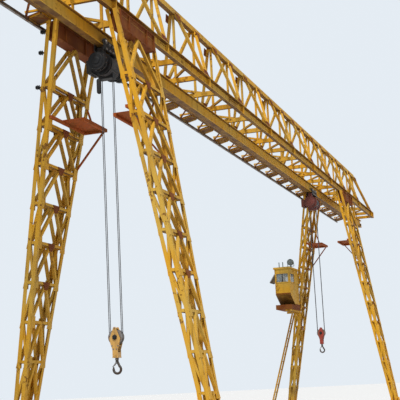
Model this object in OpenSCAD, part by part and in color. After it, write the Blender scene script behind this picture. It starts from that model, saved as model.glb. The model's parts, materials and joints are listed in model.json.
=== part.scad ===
// Lattice gantry crane: a three-chord truss girder on two pairs of splayed lattice legs,
// with an I-section hoist rail, two rope hoists, an operator's cab and rail wheels.
// Millimetres. +X runs along the girder, +Y is the travel direction, +Z is up.
// The origin is on the travel rails' level, midway between the four legs.

/* [Girder] */
// Length of one bay of the girder
bay = 1500; // [1200:50:1560]
// Number of bays between the two leg pairs, odd
span_bays = 15; // [11:2:15]
// Number of bays beyond each leg pair, the sloping end bay among them
overhang_bays = 5; // [3:1:5]
// Length of the sloping bay at each end of the girder
end_bay = 1200; // [1100:10:1500]
// Height of the lower chords' centre line
chord_z = 9290; // [8800:10:9800]
// Height of the top chord's centre line above the lower chords'
truss_h = 1745; // [1400:5:2100]
// Distance between the lower chords' centre lines
truss_w = 1240; // [1140:10:1340]
// Depth of a lower chord channel
chord_h = 260; // [220:10:300]
// Flange width of a lower chord channel
chord_b = 110; // [90:5:130]
// Plate thickness of a lower chord channel
chord_t = 14; // [8:1:20]
// Width of the top chord box
top_b = 130; // [100:5:160]
// Depth of the top chord box
top_h = 140; // [100:5:180]
// Thickness of a web diagonal
web_d = 70; // [50:5:80]
// Thickness of a centre hanger
hanger_d = 56; // [40:2:60]
// Depth of a cross beam
cross_h = 120; // [80:5:140]
// Width of a cross beam
cross_b = 90; // [60:5:120]
// Thickness of a plan brace
plan_d = 56; // [40:2:70]

/* [Hoist rail] */
// Depth of the rail's I-section
rail_h = 320; // [280:10:340]
// Flange width of the rail
rail_b = 150; // [130:5:170]
// Web thickness of the rail
rail_web = 14; // [8:1:20]
// Flange thickness of the rail
rail_fl = 20; // [14:1:24]
// Length of a rail clip between cross beam and rail
clip_drop = 104; // [80:2:140]
// Distance of the cable track from the girder's middle
track_y = 980; // [900:10:1100]
// Depth of the cable track's I-section
track_h = 70; // [50:5:90]
// Width of the cable track
track_b = 50; // [40:2:60]
// Depth of the cable track's underside below the lower chords
track_drop = 145; // [110:5:200]

/* [Legs] */
// Width of a leg along the girder at its head, between post centres
leg_head_w = 1900; // [1700:10:2000]
// Width of a leg along the girder at rail level, between post centres
leg_foot_w = 268; // [220:4:320]
// Distance between a leg's two layers of posts
leg_t = 156; // [130:2:200]
// Distance of a leg's head from the girder's middle
leg_head_y = 712; // [680:2:740]
// Sideways splay of a leg for each unit of height
leg_splay = 0.171; // [0.14:0.001:0.2]
// Flange width of a leg post's angle section
post_d = 80; // [64:2:90]
// Plate thickness of a leg post's angle section
post_t = 12; // [8:1:14]
// Number of brace panels in a leg below the head panel
leg_panels = 9; // [7:1:10]
// Height of the head panel of a leg
head_panel_h = 960; // [800:10:1200]
// Thickness of a foot plate
foot_plate_t = 24; // [16:1:40]
// Height of a saddle between the posts' heads
saddle_h = 370; // [300:10:420]
// Width of a saddle's flanges
saddle_b = 244; // [236:2:300]

/* [Ground beams] */
// Top of a ground beam above the travel rails
beam_top = 700; // [640:10:760]
// Height of a ground beam's box
beam_h = 420; // [360:10:440]
// Width of a ground beam
beam_b = 380; // [340:10:440]
// Distance between the wheel centres of a ground beam
wheel_base = 5400; // [5200:20:5800]
// Diameter of a travel wheel
wheel_d = 500; // [440:10:520]
// Width of a travel wheel's tread
wheel_b = 110; // [90:5:130]
// Diameter of a wheel axle
axle_d = 90; // [70:2:110]

/* [Platforms] */
// Height of the platforms by the legs
platform_z = 7200; // [7050:10:7400]
// Length of a platform along the girder
platform_l = 1150; // [900:10:1300]
// Gap between two facing platforms
platform_gap = 640; // [600:10:900]
// Height from a platform's strut foot to its deck
platform_strut = 880; // [700:10:1000]

/* [Cab] */
// Outer length of the cab along the girder
cab_l = 1380; // [1200:10:1450]
// Outer width of the cab
cab_b = 600; // [540:10:660]
// Height of the cab with its floor
cab_h = 1600; // [1500:10:1700]
// Height of the cab floor's underside
cab_z = 4480; // [4400:10:4600]
// Wall thickness of the cab
cab_t = 36; // [30:1:50]
// Thickness of the cab's floor
cab_floor_t = 180; // [120:10:200]
// Distance of the cab's outer side from the girder's middle
cab_out = 1900; // [1850:10:1960]
// Height of the sloping front panel above the floor
cab_knee_h = 400; // [300:10:500]
// Length of the sloping front panel along the girder
cab_knee_l = 700; // [500:10:800]

/* [Hoists] */
// Place of the near hoist along the girder
near_x = -11060; // [-11300:10:-10900]
// Place of the far hoist along the girder
far_x = 8160; // [7900:10:8500]
// Height of the near hook block's sheave axle
near_hook_z = 2700; // [2400:10:3200]
// Height of the far hook block's sheave axle
far_hook_z = 3430; // [3000:10:3800]
// Diameter of the hoist drum's housing
drum_d = 430; // [380:5:460]
// Length of the hoist drum's housing
drum_l = 640; // [560:10:700]
// Diameter of the hoist motor
motor_d = 300; // [260:5:340]
// Diameter of a hoist rope
rope_d = 16; // [12:1:20]
// Pitch diameter of the hook block's sheaves
sheave_d = 250; // [230:5:280]

/* [Hidden] */
$fn = 48;

yellow = [0.86, 0.62, 0.12];
rust = [0.42, 0.20, 0.10];
deck_red = [0.50, 0.20, 0.10];
dark = [0.10, 0.10, 0.11];
steel = [0.45, 0.45, 0.47];
tan = [0.72, 0.52, 0.28];
far_red = [0.42, 0.12, 0.10];
// Running gap between a moving piece and the piece it runs on
run_gap = 0.3;
// Gap left where a piece is notched round a sloping post
seat_gap = 0.3;

// Whole numbers of bays, odd between the leg pairs
mid_bays = 2 * round((span_bays - 1) / 2) + 1;
half_bays = mid_bays / 2 + round(overhang_bays);
span = bay * mid_bays;
top_z = chord_z + truss_h;
chord_y = truss_w / 2;
chord_top = chord_z + chord_h / 2;
chord_bottom = chord_z - chord_h / 2;
cross_z = chord_z - chord_h / 2 + 20;
cross_top = cross_z + cross_h;
rail_top = cross_z - clip_drop;
rail_bottom = rail_top - rail_h;
track_z = chord_bottom - track_drop;
top_l = 2 * (half_bays - 1) * bay;
girder_l = top_l + 2 * end_bay;
top_nodes = [for (k = [-half_bays + 1 : half_bays - 1]) k];
low_nodes = [for (k = [-half_bays + 0.5 : half_bays - 0.5]) if ((half_bays - 0.5 - k) % 2 == 0) k];

leg_top = chord_bottom - saddle_h;
leg_foot = beam_top + foot_plate_t;
saddle_l = leg_head_w - post_d - 2 * seat_gap;
panel_h = (leg_top - head_panel_h - leg_foot) / leg_panels;
rung_z = [for (i = [0 : leg_panels]) leg_top - head_panel_h - i * panel_h];

// Thickness of a leg brace, which lies against the posts' flanges
brace_d = post_d - 2 * post_t + 4;

axle_z = wheel_d / 2;
fork_in = beam_b / 2 - 30;

function leg_y(z) = leg_head_y + leg_splay * (leg_top - z);
function leg_w(z) = leg_foot_w + (leg_head_w - leg_foot_w) * z / leg_top;
function post_at(z, ex, ey) = [ex * leg_w(z) / 2, leg_y(z) + ey * leg_t / 2, z];
function mid_at(z, ey) = [0, leg_y(z) + ey * leg_t / 2, z];

// A straight bar between two points, w deep and h wide across
module bar(p, q, w, h) {
    d = q - p;
    len = norm(d);
    translate(p)
        rotate([-asin(d[1] / len), atan2(d[0], d[2]), 0])
            translate([-w / 2, -h / 2, 0])
                cube([w, h, len]);
}

// A straight angle section between two points, its corner towards ex in X and ey in Y
module angle_bar(p, q, ex, ey, size, t) {
    d = q - p;
    len = norm(d);
    a = size / 2;
    b = a - t;
    translate(p)
        rotate([-asin(d[1] / len), atan2(d[0], d[2]), 0])
            linear_extrude(len)
                polygon([[ex * a, ey * a], [-ex * a, ey * a], [-ex * a, ey * b],
                         [ex * b, ey * b], [ex * b, -ey * a], [ex * a, -ey * a]]);
}

// A round rod between two points
module rod(p, q, dia) {
    d = q - p;
    len = norm(d);
    translate(p)
        rotate([-asin(d[1] / len), atan2(d[0], d[2]), 0])
            cylinder(h = len, d = dia, $fn = 8);
}

// A block given by its lowest and highest corner
module block(lo, hi) {
    translate(lo) cube(hi - lo);
}

// Everything at one place for each leg: sx is -1 near and 1 far, sy is 1 left and -1 right
module at_leg(sx, sy) {
    translate([sx * span / 2, 0, 0]) scale_y(sy) children();
}

module scale_y(sy) {
    if (sy < 0) mirror([0, 1, 0]) children();
    else children();
}

module channel_profile(depth, width, t) {
    polygon([
        [0, -depth / 2], [width, -depth / 2], [width, -depth / 2 + t], [t, -depth / 2 + t],
        [t, depth / 2 - t], [width, depth / 2 - t], [width, depth / 2], [0, depth / 2]
    ]);
}

module i_profile(depth, width, web, fl) {
    polygon([
        [-width / 2, 0], [width / 2, 0], [width / 2, fl], [web / 2, fl],
        [web / 2, depth - fl], [width / 2, depth - fl], [width / 2, depth], [-width / 2, depth],
        [-width / 2, depth - fl], [-web / 2, depth - fl], [-web / 2, fl], [-width / 2, fl]
    ]);
}

// Extrudes a profile drawn in X and Z from y0 to y1
module along_y(y0, y1) {
    translate([0, y1, 0]) rotate([90, 0, 0]) linear_extrude(y1 - y0) children();
}

// Extrudes a profile drawn in Y and Z along X, centred on x = 0
module along_x(len) {
    translate([-len / 2, 0, 0]) rotate([90, 0, 90]) linear_extrude(len) children();
}

// Girder

// The four sloping members from the ends of the top chord down to the lower chords
module end_bars(grow = 0) {
    end_d = top_b * 0.7 + grow;
    for (sx = [-1, 1], sy = [-1, 1])
        bar([sx * (top_l / 2 - 40), sy * 20, top_z],
            [sx * (girder_l / 2 - 50), sy * chord_y, chord_z], end_d, end_d);
}

module top_chord() {
    color(yellow) union() {
        block([-top_l / 2, -top_b / 2, top_z - top_h / 2], [top_l / 2, top_b / 2, top_z + top_h / 2]);
        intersection() {
            end_bars();
            block([-girder_l, -truss_w, chord_top], [girder_l, truss_w, top_z + top_h / 2]);
        }
    }
}

module lower_chord() {
    translate([0, chord_y - chord_b / 2, chord_z])
        color(yellow) along_x(girder_l) channel_profile(chord_h, chord_b, chord_t);
}

module web_side() {
    color(yellow)
        for (k = low_nodes)
            difference() {
                union()
                    for (s = [-0.5, 0.5])
                        if (abs(k + s) <= half_bays - 1)
                            bar([k * bay, chord_y, chord_z],
                                [(k + s) * bay, top_b / 2, top_z - 20], web_d, web_d);
                block([-girder_l, -truss_w, chord_z - chord_h], [girder_l, truss_w, chord_top]);
                block([-girder_l, -top_b / 2, top_z - top_h / 2], [girder_l, top_b / 2, top_z + top_h]);
                if (abs(k) > half_bays - 2) end_bars(2 * seat_gap);
            }
}

module web_hangers() {
    color(yellow)
        for (k = top_nodes)
            difference() {
                block([k * bay - hanger_d / 2, -hanger_d / 2, cross_top + plan_d],
                      [k * bay + hanger_d / 2, hanger_d / 2, top_z - top_h / 2]);
                if (abs(k) > half_bays - 2) end_bars(2 * seat_gap);
            }
}

module cross_beams() {
    end_x = girder_l / 2 - cross_b / 2;
    color(yellow)
        for (x = concat([-end_x], [for (k = top_nodes) k * bay], [end_x]))
            block([x - cross_b / 2, -chord_y + chord_b / 2, cross_z],
                  [x + cross_b / 2, chord_y - chord_b / 2, cross_top]);
}

module plan_bracing() {
    last = half_bays - 0.5;
    function side(k) = (abs(k) % 2 == 0 ? 1 : -1) * (chord_y - plan_d / 2);
    color(yellow)
        intersection() {
            union()
                for (k = [-last : last - 1])
                    bar([k * bay, side(k), cross_top + plan_d / 2],
                        [(k + 1) * bay, side(k + 1), cross_top + plan_d / 2], plan_d, plan_d);
            block([-girder_l / 2, -chord_y + chord_b / 2, cross_top],
                  [girder_l / 2, chord_y - chord_b / 2, cross_top + plan_d]);
        }
}

module hoist_rail() {
    stop_x = girder_l / 2 - 120;
    stop_half = [15, rail_b / 2 - 6, 160];
    color(yellow) {
        translate([0, 0, rail_bottom])
            along_x(girder_l - 100) i_profile(rail_h, rail_b, rail_web, rail_fl);
        for (sx = [-1, 1])
            block([sx * stop_x - stop_half[0], -stop_half[1], rail_bottom + rail_fl],
                  [sx * stop_x + stop_half[0], stop_half[1], rail_bottom + rail_fl + stop_half[2]]);
    }
}

module rail_clips() {
    clip_l = 80;
    clip_b = 28;
    clip_y = rail_b / 2 - 27;
    color(yellow)
        for (k = top_nodes, sy = [-1, 1])
            block([k * bay - clip_l / 2, sy * clip_y - clip_b / 2, rail_top],
                  [k * bay + clip_l / 2, sy * clip_y + clip_b / 2, cross_z]);
}

module cable_track() {
    color(steel)
        translate([0, track_y, track_z])
            along_x(top_l + end_bay) i_profile(track_h, track_b, track_h / 9, track_h / 9);
}

// Arms out of the left chord's channel, each with a hanger down to the track
module track_brackets() {
    arm_z = chord_bottom + chord_t;
    arm_h = 40;
    color(yellow)
        for (k = top_nodes) {
            block([k * bay - track_b / 2, chord_y - chord_b / 2 + chord_t, arm_z],
                  [k * bay + track_b / 2, track_y + track_b / 2, arm_z + arm_h]);
            block([k * bay - track_b / 2, track_y - track_b / 4, track_z + track_h],
                  [k * bay + track_b / 2, track_y + track_b / 4, arm_z + arm_h]);
        }
}

// Legs

module posts() {
    for (ex = [-1, 1], ey = [-1, 1])
        angle_bar(post_at(0, ex, ey), post_at(chord_z, ex, ey), ex, ey, post_d, post_t);
}

// The room a leg's posts take up, for what is notched round them
module post_room() {
    for (ex = [-1, 1], ey = [-1, 1])
        bar(post_at(0, ex, ey), post_at(leg_top, ex, ey), post_d + 2 * seat_gap, post_d + 2 * seat_gap);
}

module leg() {
    levels = concat([leg_top], rung_z);
    plate_lip = 110;
    color(yellow) union() {
        intersection() {
            posts();
            block([-span, 0, leg_foot], [span, span, chord_bottom]);
        }
        intersection() {
            union() {
                for (ey = [-1, 1], i = [1 : len(levels) - 1]) {
                    upper = levels[i - 1];
                    lower = levels[i];
                    if (i < len(levels) - 1)
                        bar(post_at(lower, -1, ey), post_at(lower, 1, ey), brace_d, brace_d);
                    for (ex = [-1, 1])
                        bar(mid_at(upper, ey), post_at(lower, ex, ey), brace_d, brace_d);
                }
                for (ex = [-1, 1], i = [1 : len(levels) - 2]) {
                    bar(post_at(levels[i], ex, -1), post_at(levels[i], ex, 1), brace_d, brace_d);
                    bar(post_at(levels[i], ex, i % 2 == 0 ? -1 : 1),
                        post_at(levels[i + 1], ex, i % 2 == 0 ? 1 : -1), brace_d, brace_d * 0.8);
                }
            }
            block([-span, 0, leg_foot], [span, span, leg_top]);
        }
        block([-leg_w(leg_foot) / 2 - plate_lip, leg_y(leg_foot) - leg_t / 2 - plate_lip, beam_top],
              [leg_w(leg_foot) / 2 + plate_lip, leg_y(leg_foot) + leg_t / 2 + plate_lip, leg_foot]);
    }
}

// A box on a leg's braces under the lower chord, between the posts' heads, with flanges and ribs
module saddle() {
    y0 = leg_y(leg_top) - saddle_b / 2;
    y1 = y0 + saddle_b;
    lip = 40;
    plate = 16;
    color(rust) union() {
        block([-saddle_l / 2, y0 + lip, leg_top], [saddle_l / 2, y1 - lip, chord_bottom]);
        for (z = [leg_top, chord_bottom - plate])
            block([-saddle_l / 2, y0, z], [saddle_l / 2, y1, z + plate]);
        for (x = [-saddle_l / 2, -leg_w(leg_top) / 4, leg_w(leg_top) / 4, saddle_l / 2 - plate])
            block([x, y0, leg_top], [x + plate, y1, chord_bottom]);
    }
}

// A platform on the inner side of a leg: deck, bearer along the leg's inner posts, and on the
// post at its end an arm, a strut below and a stay above
module platform() {
    inner = platform_gap / 2;
    arm = 60;
    rod_d = 36;
    deck_t = 12;
    strut_z = platform_z - platform_strut;
    stay_z = rung_z[0] - brace_d;
    end_x = leg_w(platform_z) / 2 + arm / 2;
    post_y = leg_y(platform_z) - leg_t / 2;
    bearer_y = leg_y(platform_z) - leg_t / 2 - post_d / 2 - seat_gap;
    color(deck_red) difference() {
        union() {
            block([end_x - platform_l, inner, platform_z], [end_x, bearer_y, platform_z + deck_t]);
            block([end_x - arm, inner, platform_z - arm], [end_x, post_y, platform_z]);
            block([end_x - platform_l, inner, platform_z - arm], [end_x, inner + arm, platform_z]);
            block([-end_x, bearer_y - arm, platform_z - arm], [end_x, bearer_y, platform_z]);
            bar([leg_w(platform_z) / 2, inner + arm, platform_z - arm / 2],
                [leg_w(strut_z) / 2, leg_y(strut_z) - leg_t / 2, strut_z], rod_d, rod_d);
            bar([leg_w(platform_z) / 2, post_y - platform_l / 4, platform_z],
                [leg_w(stay_z) / 2, leg_y(stay_z) - leg_t / 2, stay_z], rod_d, rod_d);
        }
        post_room();
    }
}

// Ground beams and wheels

module ground_beam() {
    box_half = wheel_base / 2 - wheel_d / 2 - 60;
    tip = wheel_base / 2 + wheel_d / 2 + 20;
    color(yellow) difference() {
        union() {
            block([-beam_b / 2, -box_half, beam_top - beam_h], [beam_b / 2, box_half, beam_top]);
            for (sy = [-1, 1], sx = [-1, 1])
                block([sx * (fork_in + 15) - 15, min(sy * (box_half - 10), sy * tip), beam_top - beam_h - 160],
                      [sx * (fork_in + 15) + 15, max(sy * (box_half - 10), sy * tip), beam_top]);
            for (sy = [-1, 1]) {
                block([-beam_b / 2, min(sy * tip, sy * (tip + 30)), beam_top - beam_h - 60],
                      [beam_b / 2, max(sy * tip, sy * (tip + 30)), beam_top]);
                translate([0, sy * (tip + 30), beam_top - beam_h / 2])
                    rotate([-sy * 90, 0, 0]) cylinder(h = 90, d = 180);
            }
        }
        for (sy = [-1, 1])
            translate([0, sy * wheel_base / 2, axle_z])
                rotate([0, 90, 0]) cylinder(h = beam_b + 20, d = axle_d + 0.2, center = true);
    }
}

module wheels() {
    color(dark)
        for (sy = [-1, 1])
            translate([0, sy * wheel_base / 2, axle_z]) rotate([0, 90, 0]) union() {
                cylinder(h = wheel_b, d = wheel_d, center = true, $fn = 64);
                for (s = [-1, 1])
                    translate([0, 0, s * (wheel_b / 2 + 10)])
                        cylinder(h = 20, d = wheel_d - 60, center = true, $fn = 64);
                cylinder(h = 2 * fork_in - 2, d = axle_d + 60, center = true);
                cylinder(h = beam_b + 30, d = axle_d, center = true);
            }
}

// Cab on the far left leg, in the leg's own frame: the leg stands at x = 0

floor_top = cab_z + cab_floor_t;
roof_z = cab_z + cab_h;
roof_t = 50;
cab_x1 = -leg_w(roof_z) / 2 - post_d / 2 - 60;
cab_x0 = cab_x1 - cab_l;
cab_y0 = cab_out - cab_b;
knee_z = floor_top + cab_knee_h;
sill_z = roof_z - 540;
head_z = roof_z - 200;

module cab_shape(grow, z0, z1) {
    block([cab_x0 - grow, cab_y0 - grow, z0], [cab_x1 + grow, cab_out + grow, z1]);
}

module cab_floor() {
    color(rust) cab_shape(20, cab_z, floor_top);
}

module cab_openings() {
    // front and both sides, above the sill
    block([cab_x0 - 50, cab_y0 + 60, sill_z], [cab_x0 + cab_t + 50, cab_out - 60, head_z]);
    for (y = [cab_y0, cab_out])
        block([cab_x0 + 80, y - cab_t - 20, sill_z], [cab_x0 + cab_l * 0.52, y + cab_t + 20, head_z]);
    // doorway in the back wall
    block([cab_x1 - cab_t - 50, cab_y0 + 70, floor_top], [cab_x1 + 50, cab_out - 70, head_z]);
}

// The walls' side view, moved in by t; below the knee the front slopes back to the floor
module cab_side(t) {
    back = t * norm([cab_knee_l, cab_knee_h]) / cab_knee_h;
    drop = t > 0 ? 10 : 0;
    polygon([
        [cab_x0 + t, roof_z + drop], [cab_x0 + t, knee_z + (back - t) * cab_knee_h / cab_knee_l],
        [cab_x0 + back + (cab_knee_h + drop) * cab_knee_l / cab_knee_h, floor_top - drop],
        [cab_x1 - t, floor_top - drop], [cab_x1 - t, roof_z + drop]
    ]);
}

module cab_walls() {
    color(yellow) difference() {
        along_y(cab_y0, cab_out) cab_side(0);
        along_y(cab_y0 + cab_t, cab_out - cab_t) cab_side(cab_t);
        cab_openings();
    }
}

module cab_glass() {
    g = 8;
    color("lightblue", 0.5) {
        block([cab_x0 + cab_t / 2 - g / 2, cab_y0 + 60, sill_z],
              [cab_x0 + cab_t / 2 + g / 2, cab_out - 60, head_z]);
        for (y = [cab_y0 + cab_t / 2, cab_out - cab_t / 2])
            block([cab_x0 + 80, y - g / 2, sill_z], [cab_x0 + cab_l * 0.52, y + g / 2, head_z]);
    }
}

module cab_roof() {
    color(yellow) cab_shape(40, roof_z, roof_z + roof_t);
}

// A floodlight on the roof with two short posts beside it, all on one foot strip
module cab_lamp() {
    z0 = roof_z + roof_t;
    lamp_d = 240;
    lamp_l = 170;
    lamp_z = z0 + 120 + lamp_d / 2;
    lamp_y = cab_y0 + 90;
    lamp_x = cab_x0 + cab_l * 0.5;
    color([0.10, 0.16, 0.11]) union() {
        block([cab_x0 + 30, lamp_y - 25, z0], [lamp_x + 40, lamp_y + 25, z0 + 10]);
        block([cab_x0 + 30, lamp_y - 25, z0], [cab_x0 + 90, lamp_y + 340, z0 + 10]);
        for (dy = [170, 320])
            translate([cab_x0 + 60, lamp_y + dy, z0]) cylinder(h = 200, d = 34, $fn = 8);
        block([lamp_x - 20, lamp_y - 20, z0], [lamp_x + 20, lamp_y + 20, lamp_z]);
        translate([lamp_x - lamp_l / 2, lamp_y, lamp_z])
            rotate([0, 90, 0]) cylinder(h = lamp_l * 0.6, d = lamp_d);
        translate([lamp_x - lamp_l / 2, lamp_y, lamp_z])
            rotate([0, 90, 0]) cylinder(h = lamp_l, d = lamp_d * 0.7);
    }
}

module cab_brackets() {
    arm = 80;
    arm_b = post_d * 0.7;
    arm_y = leg_y(cab_z - arm / 2);
    post_x = -leg_w(cab_z) / 2;
    tie_z = roof_z - 200;
    color(yellow) difference() {
        union() {
            for (ey = [-1, 1])
                block([cab_x0 + 60, arm_y + ey * leg_t / 2 - arm_b / 2, cab_z - arm],
                      [post_x, arm_y + ey * leg_t / 2 + arm_b / 2, cab_z]);
            block([post_x - 120, cab_y0 + 20, cab_z - arm], [post_x - post_d / 2 + 4, cab_out - 20, cab_z]);
            block([cab_x1, leg_y(tie_z) + leg_t / 2 - arm / 2, tie_z - arm / 2],
                  [-leg_w(tie_z) / 2, cab_y0 + 130, tie_z + arm / 2]);
        }
        post_room();
    }
}

// The ladder leans from the ground beam's outer end to the leg's outer posts under the cab door
module cab_ladder() {
    tie_y = leg_y(cab_z) + leg_t / 2 + post_d / 2;
    foot = [beam_top, wheel_base / 2 + 200];
    head = [cab_z + 460, tie_y + 60];
    w = 340;
    n = 13;
    function rail_y(z) = foot[1] + (head[1] - foot[1]) * (z - foot[0]) / (head[0] - foot[0]);
    color(yellow) difference() {
        union() {
            for (x = [-w / 2, w / 2])
                bar([x, foot[1], foot[0] + 2], [x, head[1], head[0]], 24, 60);
            for (i = [1 : n]) {
                z = foot[0] + (head[0] - foot[0]) * i / (n + 1);
                rod([-w / 2, rail_y(z), z], [w / 2, rail_y(z), z], 26);
            }
            block([-w / 2 - 20, foot[1] - 60, foot[0]], [w / 2 + 20, foot[1] + 60, foot[0] + 30]);
            block([-leg_w(cab_z) / 2, tie_y, cab_z - 40], [leg_w(cab_z) / 2, tie_y + 40, cab_z]);
            for (x = [-w / 2, w / 2])
                block([x - 9, tie_y + 10, cab_z - 36], [x + 9, rail_y(cab_z), cab_z - 4]);
        }
        post_room();
        block([-girder_l, -truss_w, 0], [girder_l, 2 * foot[1], foot[0]]);
    }
}

// Hoists, each in its own frame: x = 0 at the hoist

// Radius of a trolley wheel
wheel_r = 70;
// Height of the drum's axis, low enough for the trolley's plates over the drum
drum_z = rail_bottom - 170 - drum_d / 2;
// Distance of the trolley's side plates from the rail's middle
plate_y = rail_b / 2 + 34;
// Pins that carry the hoist in the trolley
pin_x = 260;
pin_z = rail_bottom - 80;
pin_d = 40;
// Underside of the rope guide below the drum
guide_z = drum_z - drum_d / 2 - 50;
// Half distance between the two rope planes
rope_x = 35;
// Height of the sheave axle above the seat of the hook's nut
head_drop = 350;
shank_d = 62;
nut_d = 80;
// Half width of the hook block's foot, round the nut
block_foot = 58;
hook_r = 80;
hook_d = 50;

module trolley() {
    tread = rail_bottom + rail_fl + run_gap;
    color(dark) union() {
        for (sy = [-1, 1]) {
            block([-380, sy * plate_y - 8, rail_bottom - 110], [380, sy * plate_y + 8, tread + wheel_r + 30]);
            for (sx = [-1, 1])
                translate([sx * pin_x, sy * plate_y, tread + wheel_r])
                    rotate([sy * 90, 0, 0]) cylinder(h = 2 * (plate_y - rail_b / 2) - 14, r = wheel_r, $fn = 32);
        }
        for (sx = [-1, 1])
            translate([sx * pin_x, 0, pin_z])
                rotate([90, 0, 0]) cylinder(h = 2 * plate_y, d = pin_d, center = true);
    }
}

// A weight on a rod below the gear case, at the end away from the motor
module limit_weight() {
    weight_d = 100;
    weight_top = guide_z - 100;
    weight_l = 330;
    translate([-drum_l / 2 - 120, 0, 0]) {
        translate([0, 0, weight_top - weight_d]) cylinder(h = drum_z - weight_top + weight_d, d = 18, $fn = 12);
        for (z = [weight_top - weight_d / 2, weight_top - weight_l + weight_d / 2])
            translate([0, 0, z]) sphere(d = weight_d);
        translate([0, 0, weight_top - weight_l + weight_d / 2])
            cylinder(h = weight_l - weight_d, d = weight_d);
    }
}

module hoist_body(paint, weight = false) {
    eye_b = pin_d + 50;
    color(paint) difference() {
        union() {
            translate([-drum_l / 2, 0, drum_z]) rotate([0, 90, 0]) cylinder(h = drum_l, d = drum_d);
            translate([drum_l / 2, 0, drum_z]) rotate([0, 90, 0]) cylinder(h = 380, d = motor_d);
            translate([-drum_l / 2 - 220, 0, drum_z]) rotate([0, 90, 0]) cylinder(h = 220, d = drum_d * 0.86);
            for (x = [-pin_x, pin_x])
                block([x - eye_b / 2, -plate_y + 30, drum_z], [x + eye_b / 2, plate_y - 30, pin_z + eye_b / 2]);
            block([-90, -sheave_d / 2 - 40, guide_z], [90, sheave_d / 2 + 40, drum_z]);
            if (weight) limit_weight();
        }
        for (x = [-pin_x, pin_x])
            translate([x, 0, pin_z])
                rotate([90, 0, 0]) cylinder(h = 2 * plate_y, d = pin_d + 2 * run_gap, center = true);
    }
}

module ropes(hook_z) {
    color(steel)
        for (sy = [-1, 1], x = [-rope_x, rope_x])
            translate([x, sy * (sheave_d / 2 + rope_d / 2), hook_z])
                cylinder(h = guide_z - seat_gap - hook_z, d = rope_d, $fn = 12);
}

module hook_block(z, paint) {
    plate = 16;
    plate_x = 78;
    rim_t = 5;
    rim_x = rope_d / 2 + 9;
    color(paint) difference() {
        union() {
            for (x = [-rope_x, rope_x]) {
                translate([x, 0, z]) rotate([0, 90, 0])
                    cylinder(h = 2 * rim_x, d = sheave_d - 2 * run_gap, center = true);
                for (s = [-1, 1])
                    translate([x + s * rim_x, 0, z]) rotate([0, 90, 0])
                        cylinder(h = rim_t, d = sheave_d + 2 * rope_d + 24, center = true);
            }
            for (x = [-plate_x, plate_x])
                translate([x, 0, z]) rotate([90, 0, 90])
                    translate([0, 0, -plate / 2]) linear_extrude(plate) block_plate();
            translate([0, 0, z]) rotate([0, 90, 0]) cylinder(h = 2 * plate_x + 34, d = 60, center = true);
            block([-plate_x - plate / 2, -block_foot, z - head_drop - 60],
                  [plate_x + plate / 2, block_foot, z - head_drop + 50]);
        }
        translate([0, 0, z - head_drop - 70]) cylinder(h = 80, d = shank_d + 2 * run_gap);
        translate([0, 0, z - head_drop]) cylinder(h = 100, d = nut_d + 12);
    }
}

module block_plate() {
    foot_z = 50 - head_drop;
    polygon([[-116, -30], [-20, 205], [20, 205], [116, -30], [96, -130], [block_foot, -245],
             [block_foot, foot_z], [-block_foot, foot_z], [-block_foot, -245], [-96, -130]]);
}

module hook_piece(z) {
    cz = z - 640;
    turn = 50;
    tip_l = 55;
    shank_end = cz + hook_r + 90;
    rise = shank_end - cz - hook_r * sin(turn);
    color(dark) union() {
        translate([0, 0, shank_end]) cylinder(h = z - head_drop + 30 - shank_end, d = shank_d);
        translate([0, 0, z - head_drop + run_gap]) cylinder(h = 45, d = nut_d, $fn = 6);
        translate([0, 0, cz]) rotate([90, 0, 90]) rotate([0, 0, -180])
            rotate_extrude(angle = 180 + turn) translate([hook_r, 0]) circle(d = hook_d);
        translate([0, -hook_r, cz]) sphere(d = hook_d + 2);
        translate([0, -hook_r, cz]) cylinder(h = tip_l, d1 = hook_d, d2 = hook_d / 2);
        translate([0, hook_r * cos(turn), cz + hook_r * sin(turn)]) sphere(d = hook_d + 2);
        translate([0, hook_r * cos(turn), cz + hook_r * sin(turn)])
            rotate([atan2(hook_r * cos(turn), rise), 0, 0])
                cylinder(h = norm([hook_r * cos(turn), rise]), d = hook_d);
        translate([0, 0, shank_end]) sphere(d = shank_d + 4);
    }
}

top_chord();
lower_chord();  // lower_chord_left
scale_y(-1) lower_chord();  // lower_chord_right
web_side();  // web_left
scale_y(-1) web_side();  // web_right
web_hangers();
cross_beams();
plan_bracing();
hoist_rail();
rail_clips();
cable_track();
track_brackets();
at_leg(-1, 1) saddle();  // saddle_near_left
at_leg(-1, -1) saddle();  // saddle_near_right
at_leg(1, 1) saddle();  // saddle_far_left
at_leg(1, -1) saddle();  // saddle_far_right
at_leg(-1, 1) leg();  // leg_near_left
at_leg(-1, -1) leg();  // leg_near_right
at_leg(1, 1) leg();  // leg_far_left
at_leg(1, -1) leg();  // leg_far_right
at_leg(-1, 1) platform();  // platform_near_left
at_leg(-1, -1) platform();  // platform_near_right
at_leg(1, 1) platform();  // platform_far_left
at_leg(1, -1) platform();  // platform_far_right
at_leg(-1, 1) ground_beam();  // ground_beam_near
at_leg(1, 1) ground_beam();  // ground_beam_far
at_leg(-1, 1) wheels();  // wheels_near
at_leg(1, 1) wheels();  // wheels_far
at_leg(1, 1) cab_floor();
at_leg(1, 1) cab_walls();
at_leg(1, 1) cab_glass();
at_leg(1, 1) cab_roof();
at_leg(1, 1) cab_lamp();
at_leg(1, 1) cab_brackets();
at_leg(1, 1) cab_ladder();
translate([near_x, 0, 0]) trolley();  // near_trolley
translate([near_x, 0, 0]) hoist_body(dark, true);  // near_hoist
translate([near_x, 0, 0]) ropes(near_hook_z);  // near_ropes
translate([near_x, 0, 0]) hook_block(near_hook_z, tan);  // near_block
translate([near_x, 0, 0]) scale_y(-1) hook_piece(near_hook_z);  // near_hook
translate([far_x, 0, 0]) trolley();  // far_trolley
translate([far_x, 0, 0]) hoist_body(far_red);  // far_hoist
translate([far_x, 0, 0]) ropes(far_hook_z);  // far_ropes
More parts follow.
